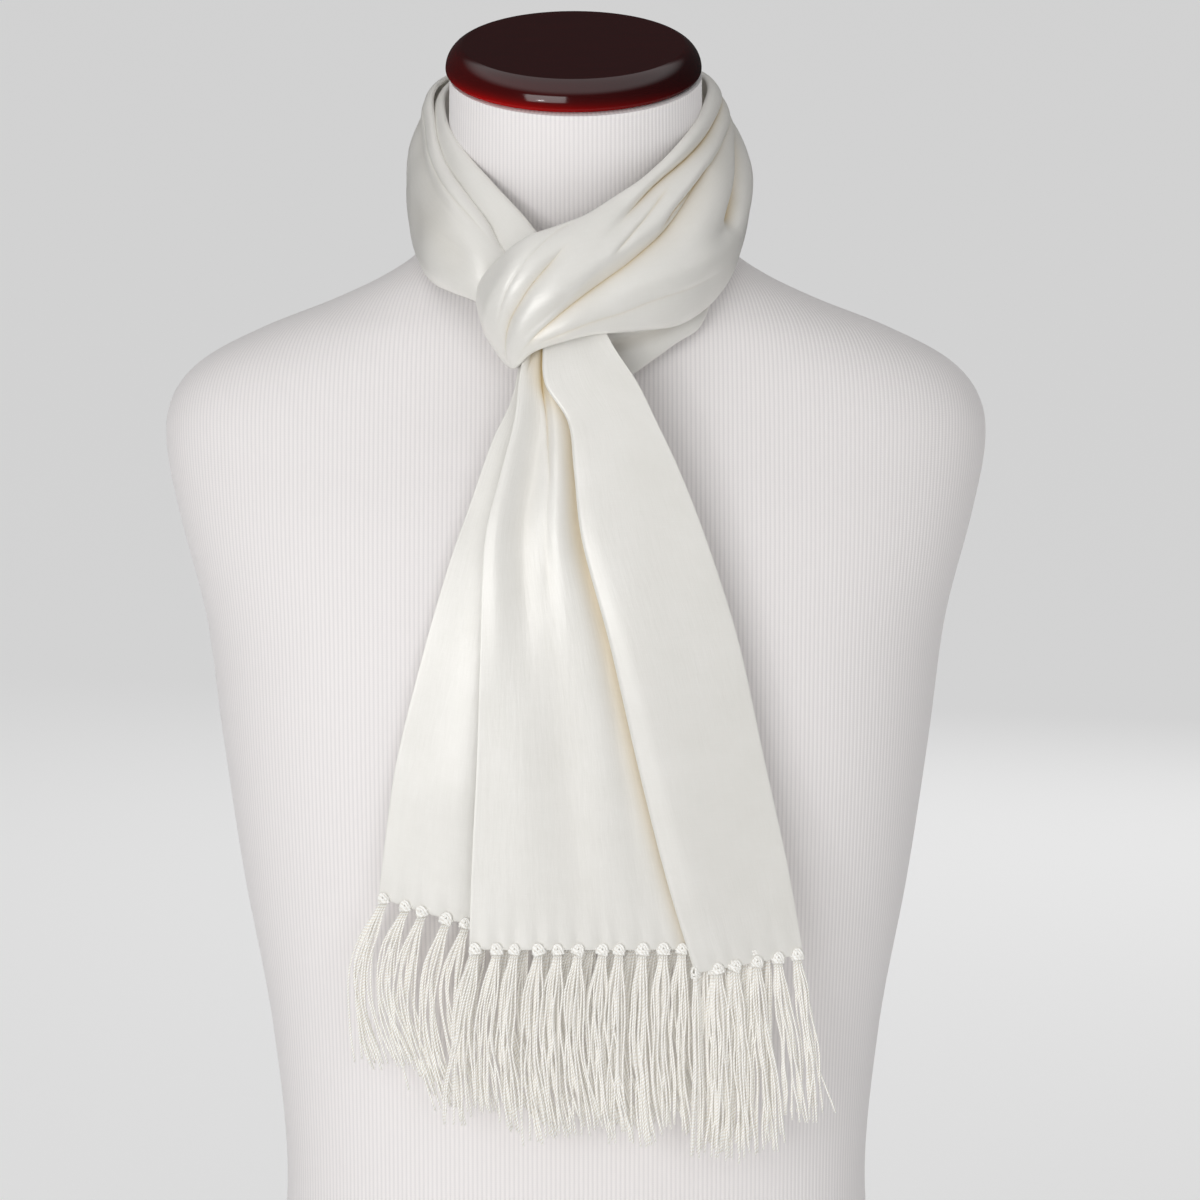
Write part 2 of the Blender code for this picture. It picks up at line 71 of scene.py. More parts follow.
def column(rows, field):
    """One column of a table in metres, as numbers, or as vectors where its cells are points."""
    cells = [getattr(row, field) for row in rows]
    return [Vector(cell) * MM if isinstance(cell, tuple) else cell * MM for cell in cells]


def between(rows):
    """A table as a function of a place in it, which gives the row there in metres."""
    kind = type(rows[0])
    columns = [column(rows, field) for field in kind._fields]
    return lambda at: kind(*(eased(values, at) for values in columns))


def ramp(value):
    """A soft step from 0 to 1."""
    held = min(max(value, 0), 1)
    return held * held * (3 - 2 * held)


def even_shares(count, first=0, last=1):
    """Evenly spaced values from first to last."""
    return [first + (last - first) * i / count for i in range(count + 1)]


def distances(points):
    """How far along a line of points each of them lies."""
    reach = [0.0]
    for before, after in zip(points, points[1:]):
        reach.append(reach[-1] + (after - before).length)
    return reach


# %% [markdown]
# ## Folds
#
# A fold in satin is a long soft valley or ridge. It could be sculpted, or left to a cloth simulation, but
# neither puts it where the photograph has it. So each fold is one row: the sections that it runs between, its
# depth, how far its sides reach above and below it, and its place across the strip at five even steps of its
# run. A negative depth makes a ridge. The soft folds follow those of the solid, and the creases are finer and
# crisper, for the looks alone. Each fades out over a share of its run at both ends, the creases over less.
#
# Light that has bounced about in a fold comes out warmer, so how deep a point lies is counted too: a share of
# the soft folds' depth, and all of the creases', close to their lines.

# %% Folds as rows of a table
Fold = namedtuple("Fold", "name first last depth above below start quarter middle later end")
FOLD_SHARPNESS = 1.8
CREASE_SHARPNESS = 1.05
FOLD_FADE = 0.38
CREASE_FADE = 0.25
FOLD_HOLLOW = 0.2
CREASE_TINT_REACH = 0.6


def folds_at(folds, at, sharpness, fade):
    """The folds that cross this section, as (share across, push, reach above, reach below, sharpness)."""
    found = []
    for fold in folds:
        run = (at - fold.first) / (fold.last - fold.first)
        if 0 < run < 1:
            stations = [fold.start, fold.quarter, fold.middle, fold.later, fold.end]
            push = fold.depth * MM * ramp(min(run, 1 - run) / fade)
            found.append((eased(stations, run * 4), push, fold.above * MM, fold.below * MM, sharpness))
    return found


def pushed(found, share, width, reach=1):
    """How far these folds push a strip of this width in, at a share of the way across."""
    total = 0.0
    for place, push, above, below, sharpness in found:
        away = (share - place) * width
        total += push * math.exp(-(abs(away) / reach / (below if away > 0 else above)) ** sharpness)
    return total


def dented(folds, creases, share, width):
    """How far the cloth is pushed in, and how deep in a fold it lies for the finish, in millimetres."""
    soft, crisp = pushed(folds, share, width), pushed(creases, share, width)
    hollow = soft * FOLD_HOLLOW + pushed(creases, share, width, CREASE_TINT_REACH)
    return soft + crisp, hollow / MM


# %% [markdown]
# ## A sheet of satin
#
# A strip of cloth is a grid of quads, so `create_grid` makes it and each point is then carried to its place.
# The grid keeps its rows and columns, and they become the UV map: metres across the cloth and metres along
# it, as it was cut. The weave is drawn on that map and follows every fold. How deep in a fold a point lies is
# stored on it for the finish. A Solidify modifier then gives the thickness, and a Bevel takes the hardness
# off its edges, which are folds in the real scarf and not cuts.

# %% Lay a grid on a surface
CLOTH_THICKNESS = 1.0 * MM
EDGE_ROUND = 0.3 * MM
EDGE_ANGLE = math.radians(60)
UNEVENNESS = 0.35 * MM


def bent_grid(columns, rows, map_name, layer_name, place):
    """A grid bent to a shape. place(i, j) gives a point, its UVs and the value of its named layer."""
    bm = bmesh.new()
    bmesh.ops.create_grid(bm, x_segments=columns, y_segments=rows, size=1)
    uv = bm.loops.layers.uv.new(map_name)
    layer = bm.verts.layers.float.new(layer_name)
    where = {}
    for vert in bm.verts:
        i, j = round(columns * (vert.co.x + 1) / 2), round(rows * (vert.co.y + 1) / 2)
        vert.co, where[vert], vert[layer] = place(i, j)
    for face in bm.faces:
        for loop in face.loops:
            loop[uv].uv = where[loop.vert]
    return bm


def new_piece(bm, name, node):
    """The object of a finished bmesh, which takes the place of a solid and rides with it."""
    mesh = bpy.data.meshes.new(name)
    bm.to_mesh(mesh)
    bm.free()
    mesh.shade_smooth()
    made = bpy.data.objects.new(name, mesh)
    bpy.context.scene.collection.objects.link(made)
    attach(made, "root")
    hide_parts(node)
    print(f"{name}: {len(mesh.polygons)} faces")
    return made


def satin_sheet(name, node, section, places, shares, cut_width):
    """A stretch of satin. section(at) gives a function from a share across to a point and its depth."""
    rows = [section(at) for at in places]
    reach = distances([row(0.5)[0] for row in rows])

    def place(i, j):
        point, hollow = rows[i](shares[j])
        return point, (shares[j] * cut_width, reach[i]), hollow

    bm = bent_grid(len(places) - 1, len(shares) - 1, "cut", "hollow", place)
    bmesh.ops.reverse_faces(bm, faces=bm.faces)
    made = new_piece(bm, name, node)
    wall = made.modifiers.new("wall", "SOLIDIFY")
    wall.thickness = CLOTH_THICKNESS
    wall.offset = 0
    edge = made.modifiers.new("edge", "BEVEL")
    edge.width = EDGE_ROUND
    edge.segments = 2
    edge.limit_method = "ANGLE"
    edge.angle_limit = EDGE_ANGLE
    return made


def unevenness(at, share, bumps, seed):
    """How far silk hangs from an even surface. bumps says how many it has to a section and across."""
    along, across = bumps
    return UNEVENNESS * noise.noise(Vector((at * along, share * across, seed)))


# %% [markdown]
# ## The wrap round the neck
#
# The outer layer of the doubled strip starts under the crossing, goes round the left of the neck, the nape
# and the right, and comes over the front as a soft diagonal roll. There it turns round the two ends and
# goes out of sight. Each section gives its two edges and how far the cloth between them stands out. Its
# long edges are rolled in, so no raw edge shows at the neck.

# %% Sections and folds of the wrap
Section = namedtuple("Section", "name top low belly")
BELLY_FULLNESS = 0.65
EDGE_ROLL = 0.9 * MM
EDGE_LOOK = 0.03
SECTION_LOOK = 0.05
ROLL_STEPS = 4
WRAP_BUMPS = (1.3, 4)
NECK_WRAP = [
    Section("under_crossing", (-24, -84, 688), (-37, -88, 666), 3),
    Section("left_front", (-35, -80, 698), (-48, -85, 674), 6),
    Section("left_breast", (-43, -73, 711), (-58, -77, 677), 9),
    Section("left_corner", (-54, -60, 724), (-68, -62, 680), 11),
    Section("left_neck", (-65, -38, 738), (-74, -38, 685), 9),
    Section("left_side", (-71, -12, 755), (-79, -8, 694), 7),
    Section("left_nape", (-70, 18, 772), (-79, 24, 706), 7),
    Section("nape_left", (-48, 53, 779), (-59, 61, 713), 7),
    Section("nape", (0, 69, 781), (0, 80, 716), 8),
    Section("nape_right", (49, 51, 780), (63, 59, 713), 9),
    Section("right_side", (66, 12, 775), (79, 10, 700), 12),
    Section("right_neck", (62, -25, 760), (77, -34, 686), 12),
    Section("right_corner", (51, -52, 747), (68, -64, 673), 12),
    Section("right_breast", (35, -71, 733), (51, -86, 663), 12),
    Section("crossing_right", (19, -81, 723), (29, -99, 661), 12),
    Section("crossing", (5, -88, 715), (9, -106, 660), 12),
    Section("crossing_left", (-9, -93, 710), (-6, -110, 657), 12),
    Section("lobe_top", (-23, -97, 705), (-16, -110, 654), 10),
    Section("lobe", (-35, -96, 696), (-23, -107, 650), 8),
    Section("turn", (-45, -90, 684), (-29, -99, 643), 5),
    Section("turn_back", (-47, -80, 673), (-31, -91, 643), 3),
    Section("turn_end", (-38, -75, 668), (-24, -87, 644), 1),
]
NECK_WRAP_FOLDS = [
    Fold("left_hollow", 0.6, 5.6, 2.4, 9, 12, 0.84, 0.60, 0.48, 0.58, 0.78),
    Fold("left_roll", 1.2, 7.8, 2.2, 5, 9, 0.24, 0.22, 0.20, 0.20, 0.22),
    Fold("nape_high", 5.6, 11, 3.6, 5, 8, 0.30, 0.30, 0.28, 0.24, 0.20),
    Fold("nape_low", 5, 10.4, 4.0, 6, 9, 0.62, 0.65, 0.66, 0.61, 0.55),
    Fold("roll_dip", 9.2, 15.2, 3.4, 4, 5, 0.12, 0.12, 0.10, 0.15, 0.36),
    Fold("overlap_dip", 9.2, 19, 4.6, 4, 11, 0.24, 0.27, 0.50, 0.78, 0.98),
    Fold("outer_roll", 9.4, 15.2, -3.0, 8, 8, 0.45, 0.66, 0.72, 0.72, 0.80),
    Fold("shoulder_hollow", 9.5, 12.5, 4.5, 5, 8, 0.22, 0.36, 0.50, 0.60, 0.64),
    Fold("lobe_dip", 15, 19.8, 2.6, 5, 5, 0.12, 0.32, 0.52, 0.70, 0.97),
    Fold("lobe_swell", 16, 20.4, -1.6, 7, 7, 0.05, 0.15, 0.28, 0.45, 0.7),
]
NECK_WRAP_CREASES = [
    Fold("left_edge_line", 1, 8, 0.8, 0.9, 1.3, 0.10, 0.10, 0.09, 0.08, 0.08),
    Fold("nape_line", 6, 9.8, 1.5, 1.6, 2.4, 0.44, 0.46, 0.47, 0.45, 0.42),
    Fold("first_roll", 9.4, 14.3, 2.8, 1.3, 1.9, 0.12, 0.12, 0.105, 0.09, 0.23),
    Fold("first_roll_pocket", 12.6, 14.6, 1.6, 1.6, 1.8, 0.14, 0.19, 0.27, 0.36, 0.46),
    Fold("overlap_line", 9.6, 18.9, 2.0, 0.9, 3.0, 0.22, 0.25, 0.54, 0.83, 1.0),
    Fold("overlap_gash", 11.5, 13.3, 3.0, 1.3, 1.7, 0.235, 0.245, 0.265, 0.30, 0.37),
    Fold("shoulder_pocket", 10.2, 11.8, 3.6, 3.0, 6.5, 0.31, 0.38, 0.49, 0.57, 0.61),
    Fold("low_strip", 11.8, 17.4, 1.2, 0.9, 3.0, 0.84, 0.80, 0.89, 0.945, 0.965),
    Fold("thin_crease", 15, 18.9, 0.8, 1.0, 1.6, 0.03, 0.05, 0.20, 0.40, 0.64),
    Fold("lobe_crease", 15.6, 19.4, 1.6, 1.1, 2.4, 0.18, 0.36, 0.535, 0.67, 0.97),
    Fold("crossing_ridge", 14.8, 18.4, -0.8, 2.2, 2.2, 0.47, 0.65, 0.80, 0.89, 0.95),
]


def strip_section(rows, folds, creases=()):
    """The surface of a strip given by its two edges, as a function of a section and a share across."""
    top, low, belly = (column(rows, field) for field in ("top", "low", "belly"))

    def middle(at):
        return eased(top, at).lerp(eased(low, at), 0.5)

    def section(at):
        along = middle(min(at + SECTION_LOOK, len(rows) - 1)) - middle(max(at - SECTION_LOOK, 0))
        start, across = eased(top, at), eased(low, at) - eased(top, at)
        out = along.cross(across).normalized()
        width, fullness = across.length, eased(belly, at)
        soft = folds_at(folds, at, FOLD_SHARPNESS, FOLD_FADE)
        crisp = folds_at(creases, at, CREASE_SHARPNESS, CREASE_FADE)

        def flat(share):
            push, hollow = dented(soft, crisp, share, width)
            push += unevenness(at, share, WRAP_BUMPS, len(rows))
            bulge = fullness * math.sin(math.pi * min(max(share, 0), 1)) ** BELLY_FULLNESS
            return start + across * share + out * (bulge - push), hollow

        def point(share):
            if 0 <= share <= 1:
                return flat(share)
            edge, inner = (0, EDGE_LOOK) if share < 0 else (1, 1 - EDGE_LOOK)
            angle = math.pi * (-share if share < 0 else share - 1)
            corner, depth = flat(edge)
            inwards = (flat(inner)[0] - corner).normalized()
            face = (out - inwards * out.dot(inwards)).normalized()
            rolled = inwards * math.sin(angle) + face * (1 - math.cos(angle))
            return corner - rolled * EDGE_ROLL, depth

        return point

    return section


def rolled_shares(count):
    """Even shares across, and the steps of a half turn past each edge, which rolls it in."""
    turn = [step / ROLL_STEPS for step in range(1, ROLL_STEPS + 1)]
    return [-step for step in reversed(turn)] + even_shares(count) + [1 + step for step in turn]


# %% Make the wrap
neck_wrap = satin_sheet(
    "neck_wrap_satin", "neck_wrap", strip_section(NECK_WRAP, NECK_WRAP_FOLDS, NECK_WRAP_CREASES),
    even_shares(80, 0, 9) + even_shares(250, 9, len(NECK_WRAP) - 1)[1:], rolled_shares(118), 0.08,
)

# %% [markdown]
# ## The layers inside
#
# The strip is doubled, so a second layer shows as a narrow band between the neck and the outer one. Under
# the crossing a last stretch of the loop passes behind both ends. Both are strips like the first.

# %% Sections of the inner stretches
INNER_WRAP = [
    Section("under_crossing", (-14, -82, 700), (-26, -83.4, 684), 2.2),
    Section("left_front", (-20, -77, 707), (-36, -79, 691), 3.4),
    Section("left_breast", (-27, -71.5, 715), (-44, -71.6, 698), 3.6),
    Section("left_corner", (-40, -60.5, 728), (-54.5, -58, 712), 3.6),
    Section("left_neck", (-56, -38, 744), (-64.2, -35, 727), 3.4),
    Section("left_side", (-65, -12, 758), (-70, -9, 738), 3.2),
    Section("left_nape", (-64, 17, 772), (-68, 19, 749), 3.2),
    Section("nape_left", (-43, 49, 781), (-46, 52, 757), 3.2),
    Section("nape", (0, 62, 784), (0, 65, 759), 3.2),
    Section("nape_right", (43, 46, 781), (47, 49, 756), 3.2),
    Section("right_nape", (59, 24, 774), (63, 26, 751), 3.2),
]
UNDER_STRAND = [
    Section("right_neck", (62, -44, 694), (69, -49, 680), 1),
    Section("right_corner", (54, -61, 681), (61, -68, 661), 3),
    Section("right_breast", (40, -71, 676), (49, -76, 653), 4),
    Section("open_right", (27, -77, 671), (36, -80, 644), 4),
    Section("behind_right", (12, -79, 668), (23, -83, 636), 4),
    Section("behind", (-6, -77, 663), (6, -81, 631), 4),
    Section("behind_left", (-20, -75, 659), (-13, -79, 632), 2),
]
UNDER_STRAND_FOLDS = [
    Fold("tuck", 1, 5.5, 3.5, 3, 6, 0.70, 0.60, 0.50, 0.47, 0.45),
]
inner_wrap = satin_sheet(
    "inner_wrap_satin", "inner_wrap", strip_section(INNER_WRAP, []),
    even_shares(150, 0, len(INNER_WRAP) - 1), rolled_shares(16), 0.025,
)
under_strand = satin_sheet(
    "under_strand_satin", "under_strand", strip_section(UNDER_STRAND, UNDER_STRAND_FOLDS),
    even_shares(90, 0, len(UNDER_STRAND) - 1), rolled_shares(30), 0.03,
)

# %% [markdown]
# ## The two hanging ends
#
# Both ends leave the loop gathered and fan out as they hang. The front end has one deep pleat: the cloth
# turns back under and then folds over itself, so it lies in three layers. The back end is turned under once
# where the front one hides it. A share across runs through the layers, and each turn is a half circle.
# Near the hem the knots of the fringe draw the satin into small puckers. Beside the edge of the fold the
# satin under it lies in a warm shade, so it counts as deep for the finish.

# %% Sections and folds of the ends
CHEST_DROP = 9 * MM
CHEST_REACH = 100 * MM
LAYER_CLOSENESS = 0.55
UNDER_SHARE = 0.60
FOLD_SHARE = 0.76
HIDDEN_SHARE = 0.66
TURN_REACH = 0.013
TURN_STEPS = 5
END_BUMPS = (0.9, 9)
FrontSection = namedtuple("FrontSection", "height left_x fold_x under_x right_x fold_drop right_drop layer y")
FRONT_END = [
    FrontSection(674, -21, -14, -6, 8, 0, 0, 2.4, -93),
    FrontSection(654, -24, -15, 0, 18, 0, 0, 2.5, -99),
    FrontSection(636, -27, -14, 7, 30, 0, 0, 2.8, -104),
    FrontSection(618, -29, -3, 16, 39, 0, 0, 3.0, -109),
    FrontSection(595, -35, 0, 25, 50, 0, 0, 3.2, -116),
    FrontSection(562, -43, 4, 35, 63, 0, 0, 3.4, -125),
    FrontSection(515, -45, 17, 54, 78, 1, 0, 3.6, -132),
    FrontSection(457, -47, 31, 70, 91, 4, 1, 3.8, -134),
    FrontSection(408, -49.5, 44, 82, 102, 7, 2, 4.0, -135),
    FrontSection(365, -51, 58, 93, 110, 11, 3, 4.0, -136),
]
FRONT_END_FOLDS = [
    Fold("left_fan", 1, 6.8, -1.4, 5, 6, 0.06, 0.04, 0.03, 0.04, 0.05),
    Fold("left_hollow", 0.4, 6.8, 2.4, 8, 6, 0.18, 0.175, 0.155, 0.135, 0.13),
    Fold("middle_fan", 0.4, 6.6, -2.0, 5, 7, 0.25, 0.245, 0.27, 0.265, 0.24),
    Fold("pleat_hollow", 1.5, 9, 1.2, 5, 8, 0.33, 0.335, 0.345, 0.355, 0.365),
    Fold("lower_wave", 4, 9.9, 1.2, 14, 14, 0.20, 0.21, 0.22, 0.23, 0.24),
    Fold("lap_roll", 0.6, 9.9, -2.4, 7, 24, 0.80, 0.80, 0.80, 0.81, 0.82),
]
FRONT_END_CREASES = [
    Fold("knot_tuck", -0.8, 1.9, 1.2, 1.2, 2.0, 0.10, 0.10, 0.10, 0.09, 0.06),
    Fold("fan_crease", 0, 4.4, 1.6, 1.2, 1.6, 0.20, 0.205, 0.20, 0.214, 0.235),
    Fold("fan_end", 3.6, 5.8, 0.45, 2.6, 3.4, 0.225, 0.23, 0.23, 0.22, 0.205),
]
BackSection = namedtuple("BackSection", "height left_x turn_x end_x right_drop sag layer y")
BACK_END = [
    BackSection(656, -26, -5, -13, 0, 0, 2.3, -89),
    BackSection(644, -27, -3, -13, 0, 0, 2.4, -93),
    BackSection(626, -31, 2, -13, 0, 0, 2.6, -98),
    BackSection(607, -40, 9, -13, 0, 1, 2.9, -104),
    BackSection(579, -50, 18, -14, 1, 2, 3.2, -111),
    BackSection(548, -61, 26, -16, 3, 4, 3.4, -119),
    BackSection(507, -73, 38, -17, 5, 6, 3.6, -126),
    BackSection(457, -85.5, 50, -17, 7, 8, 3.8, -128),
    BackSection(421, -91, 58, -17, 10, 10, 3.8, -128),
    BackSection(388, -95, 64, -16, 13, 11, 3.8, -128),
]
BACK_END_FOLDS = [
    Fold("edge_wave", 2.5, 9.6, -1.3, 10, 10, 0.17, 0.165, 0.16, 0.155, 0.15),
    Fold("inner_wave", 1.5, 8.5, 1.2, 9, 12, 0.30, 0.29, 0.28, 0.28, 0.28),
]
BACK_END_CREASES = [
    Fold("gather", 0.5, 4.6, 0.8, 2, 3, 0.20, 0.21, 0.22, 0.235, 0.25),
]


def chest_round(x):
    """How far the roundness of the chest takes a hanging end back, at this x."""
    return CHEST_DROP * (x / CHEST_REACH) ** 2


def layered(share, edges, turns, layer):
    """Where a share across cloth in layers lies: its x, and its level, which is 0, 1 or 2 on a layer."""
    radius = layer / 2
    start_x, start_share = edges[0], 0
    for level, (turn, before, edge) in enumerate(zip(turns, edges, edges[1:])):
        side = math.copysign(radius, edge - before)
        centre = edge - side
        if share < turn - TURN_REACH:
            run = (share - start_share) / (turn - TURN_REACH - start_share)
            return start_x + (centre - start_x) * run, level
        if share < turn + TURN_REACH:
            angle = (share - turn) / TURN_REACH * math.pi / 2
            return centre + side * math.cos(angle), level + 0.5 + 0.5 * math.sin(angle)
        start_x, start_share = centre, turn + TURN_REACH
    run = (share - start_share) / (1 - start_share)
    return start_x + (edges[-1] - start_x) * run, len(turns)


LAP_GLOW = 2.2
LAP_GLOW_REACH = 8 * MM
PUCKER_DEPTH = 0.7 * MM
PUCKER_REACH = 2.6 * MM
PUCKER_RISE = 0.22
PUCKERS_END = 4


def hem_pull(at, last, share, knots, width):
    """How far the nearest knot pulls the cloth in, close to the hem."""
    rise = (last - at) / PUCKER_RISE
    if rise > PUCKERS_END or not knots:
        return 0
    nearest = min(abs(share - knot) for knot in knots) * width
    return PUCKER_DEPTH * math.exp(-rise) * math.exp(-((nearest / PUCKER_REACH) ** 2))


def front_section(knots=()):
    row_at, last = between(FRONT_END), len(FRONT_END) - 1

    def section(at):
        row = row_at(at)
        edges = (row.left_x, row.under_x, row.fold_x, row.right_x)
        width = (row.under_x - row.left_x) / UNDER_SHARE
        soft = folds_at(FRONT_END_FOLDS, at, FOLD_SHARPNESS, FOLD_FADE)
        crisp = folds_at(FRONT_END_CREASES, at, CREASE_SHARPNESS, CREASE_FADE)

        def point(share):
            x, level = layered(share, edges, (UNDER_SHARE, FOLD_SHARE), row.layer)
            drop = ramp((share - UNDER_SHARE - TURN_REACH) / (FOLD_SHARE - UNDER_SHARE - 2 * TURN_REACH))
            slope = (row.right_drop - row.fold_drop) * max(share - FOLD_SHARE, 0) / (1 - FOLD_SHARE)
            push, hollow = dented(soft, crisp, share, width)
            # painted warm shade on the satin under the lap's edge
            if level < 1:
                hollow += LAP_GLOW * math.exp(-((x - row.fold_x) / LAP_GLOW_REACH) ** 2)
            push += hem_pull(at, last, share, knots, width)
            push += unevenness(at, share, END_BUMPS, 5)
            y = row.y - level * row.layer * LAYER_CLOSENESS + chest_round(x) + push
            return Vector((x, y, row.height - drop * row.fold_drop - slope)), hollow

        return point

    return section


def back_section(knots=()):
    row_at, last = between(BACK_END), len(BACK_END) - 1

    def section(at):
        row = row_at(at)
        width = (row.turn_x - row.left_x) / HIDDEN_SHARE
        soft = folds_at(BACK_END_FOLDS, at, FOLD_SHARPNESS, FOLD_FADE)
        crisp = folds_at(BACK_END_CREASES, at, CREASE_SHARPNESS, CREASE_FADE)

        def point(share):
            x, level = layered(share, (row.left_x, row.turn_x, row.end_x), (HIDDEN_SHARE,), row.layer)
            reach = (x - row.left_x) / (row.turn_x - row.left_x)
            push, hollow = dented(soft, crisp, share, width)
            push += hem_pull(at, last, share, knots, width)
            push += unevenness(at, share, END_BUMPS, 7)
            y = row.y + level * row.layer + chest_round(x) + push
            drop = row.right_drop * reach + row.sag * 4 * reach * (1 - reach)
            return Vector((x, y, row.height - drop)), hollow

        return point

    return section


def pleat_shares(count, turns):
    """Shares across a pleated end: even ones on its layers, and closer ones round its turns."""
    steps = range(-TURN_STEPS, TURN_STEPS + 1)
    round_turns = [turn + TURN_REACH * step / TURN_STEPS for turn in turns for step in steps]
    clear = 1.2 * TURN_REACH
    on_layers = [share for share in even_shares(count) if all(abs(share - turn) > clear for turn in turns)]
    return sorted(round_turns + on_layers)


# %% [markdown]
# ## Where the tassels hang
#
# The fringe is tied into the hem by hand at nearly even steps, with a knot at each corner. So the hem line is
# measured and cut into equal lengths, and the knots between the corners are moved a little from their places.
# The share across at each knot is kept too, because the satin above it puckers.

# %% Stations along the hem
TASSEL_COUNT = 24
HEM_INSET = 0.012
HEM_UNEVENNESS = 1.0 * MM
Station = namedtuple("Station", "share place along")


def hem_stations(section, last, fineness=600):
    """One station for each tassel, nearly even along the hem, with the direction of the hem there."""
    shares = even_shares(fineness)
    row = section(last)
    line = [row(share)[0] for share in shares]
    reach = distances(line)
    found = []
    i = 0
    for index in range(TASSEL_COUNT):
        want = reach[-1] * (HEM_INSET + (1 - 2 * HEM_INSET) * index / (TASSEL_COUNT - 1))
        want += HEM_UNEVENNESS * math.sin(2.4 * index) * min(index, TASSEL_COUNT - 1 - index, 1)
        while reach[i + 1] < want:
            i += 1
        found.append(Station(shares[i], line[i], (line[i + 1] - line[i]).normalized()))
    return found


front_last, back_last = len(FRONT_END) - 1, len(BACK_END) - 1
front_stations = hem_stations(front_section(), front_last)
back_stations = hem_stations(back_section(), back_last)
front_end = satin_sheet(
    "front_end_satin", "front_end", front_section([station.share for station in front_stations]),
    even_shares(190, 0, front_last), pleat_shares(170, (UNDER_SHARE, FOLD_SHARE)), 0.24,
)
back_end = satin_sheet(
    "back_end_satin", "back_end", back_section([station.share for station in back_stations]),
    even_shares(150, 0, back_last), pleat_shares(110, (HIDDEN_SHARE,)), 0.24,
)

# %% [markdown]
# ## Knots
#
# A tassel is a bunch of cords drawn through the hem as a loop, with its ends pulled through it. So two low
# arches, one inside the other, lie on the satin over the edge, in front and behind, and two slanting collars
# hold the bunch there. One knot is made from rings that are extruded along their paths. Copies of it, each
# turned and sized a little differently, are set at the stations.

# %% Sweep a tube along a path
def tube(bm, path, radius, sides, closed=False):
    """Extrude a ring along a path, always square to it. A closed path is joined end to end."""
    count = len(path)
    normal = (path[1] - path[0]).orthogonal().normalized()
    rings = []
    edges = []
    for i in range(count + 1 if closed else count):
        before, after = path[(i - 1) % count], path[(i + 1) % count]
        if not closed:
            before, after = path[max(i - 1, 0)], path[min(i + 1, count - 1)]
        ahead = (after - before).normalized()
        normal = (normal - ahead * normal.dot(ahead)).normalized()
        side = ahead.cross(normal)
        if not rings:
            made = bmesh.ops.create_circle(bm, segments=sides, radius=1)["verts"]
            edges = [edge for edge in bm.edges if all(vert in made for vert in edge.verts)]
            order = {vert: k for k, vert in enumerate(made)}
        else:
            grown = bmesh.ops.extrude_edge_only(bm, edges=edges)["geom"]
            edges = [item for item in grown if isinstance(item, bmesh.types.BMEdge)]
            fresh = {}
            for vert in (item for item in grown if isinstance(item, bmesh.types.BMVert)):
                root = next(e.other_vert(vert) for e in vert.link_edges if e.other_vert(vert) in order)
                fresh[vert] = order[root]
            order = fresh
        for vert, k in order.items():
            turn = math.tau * k / sides
            vert.co = path[i % count] + (normal * math.cos(turn) + side * math.sin(turn)) * radius
        rings.append(order)
    if closed:
        bmesh.ops.remove_doubles(bm, verts=list(rings[0]) + list(rings[-1]), dist=radius * 0.3)
    else:
        bmesh.ops.holes_fill(bm, edges=[e for e in bm.edges if e.is_boundary])


Arch = namedtuple("Arch", "half_width rise")
Collar = namedtuple("Collar", "drop half_width tilt")
KNOT_CORD = 0.72 * MM
KNOT_SIDES = 6
ARCHES = (Arch(2.5 * MM, 2.9 * MM), Arch(1.1 * MM, 2.2 * MM))
ARCH_FOOT = 2.2 * MM
ARCH_STEPS = 10
COLLARS = (Collar(0.2 * MM, 2.9 * MM, 0.12), Collar(1.5 * MM, 2.5 * MM, -0.14))
COLLAR_DEPTH = 1.9 * MM
COLLAR_STEPS = 14


def knot_template():
    """A knot at the origin, on a hem along X, with its front facing -Y."""
    bm = bmesh.new()
    for face in (-1, 1):
        for nearness, arch in enumerate(ARCHES):
            path = []
            for turn in even_shares(ARCH_STEPS, 0, math.pi):
                up = max(math.sin(turn), 0) ** 0.5
                x = arch.half_width * math.cos(turn) * (1 - 0.2 * up)
                y = face * (CLOTH_THICKNESS / 2 + KNOT_CORD * (1 + nearness * 0.5 - 0.5 * up**8))
                path.append(Vector((x, y, (arch.rise + ARCH_FOOT) * up - ARCH_FOOT)))
            tube(bm, path, KNOT_CORD, KNOT_SIDES)
    for collar in COLLARS:
        ring = []
        for turn in even_shares(COLLAR_STEPS, 0, math.tau)[:-1]:
            x, y = collar.half_width * math.cos(turn), COLLAR_DEPTH * math.sin(turn)
            ring.append(Vector((x, y, -collar.drop + collar.tilt * x)))
        tube(bm, ring, KNOT_CORD, KNOT_SIDES, closed=True)
    bmesh.ops.recalc_face_normals(bm, faces=bm.faces)
    mesh = bpy.data.meshes.new("knot_template")
    bm.to_mesh(mesh)
    bm.free()
    return mesh


# %% Set a knot at each station
KNOT_TURN = 0.4
KNOT_SIZES = (0.92, 1.1)
knot_mesh = knot_template()
print("one knot:", len(knot_mesh.polygons), "faces")


def add_copy(bm, template, place):
    """Add a copy of a mesh to a bmesh, with each of its points moved to place(point)."""
    copy = bmesh.new()
    copy.from_mesh(template)
    for vert in copy.verts:
        vert.co = place(vert.co)
    moved = bpy.data.meshes.new("moved")
    copy.to_mesh(moved)
    copy.free()
    bm.from_mesh(moved)
    bpy.data.meshes.remove(moved)


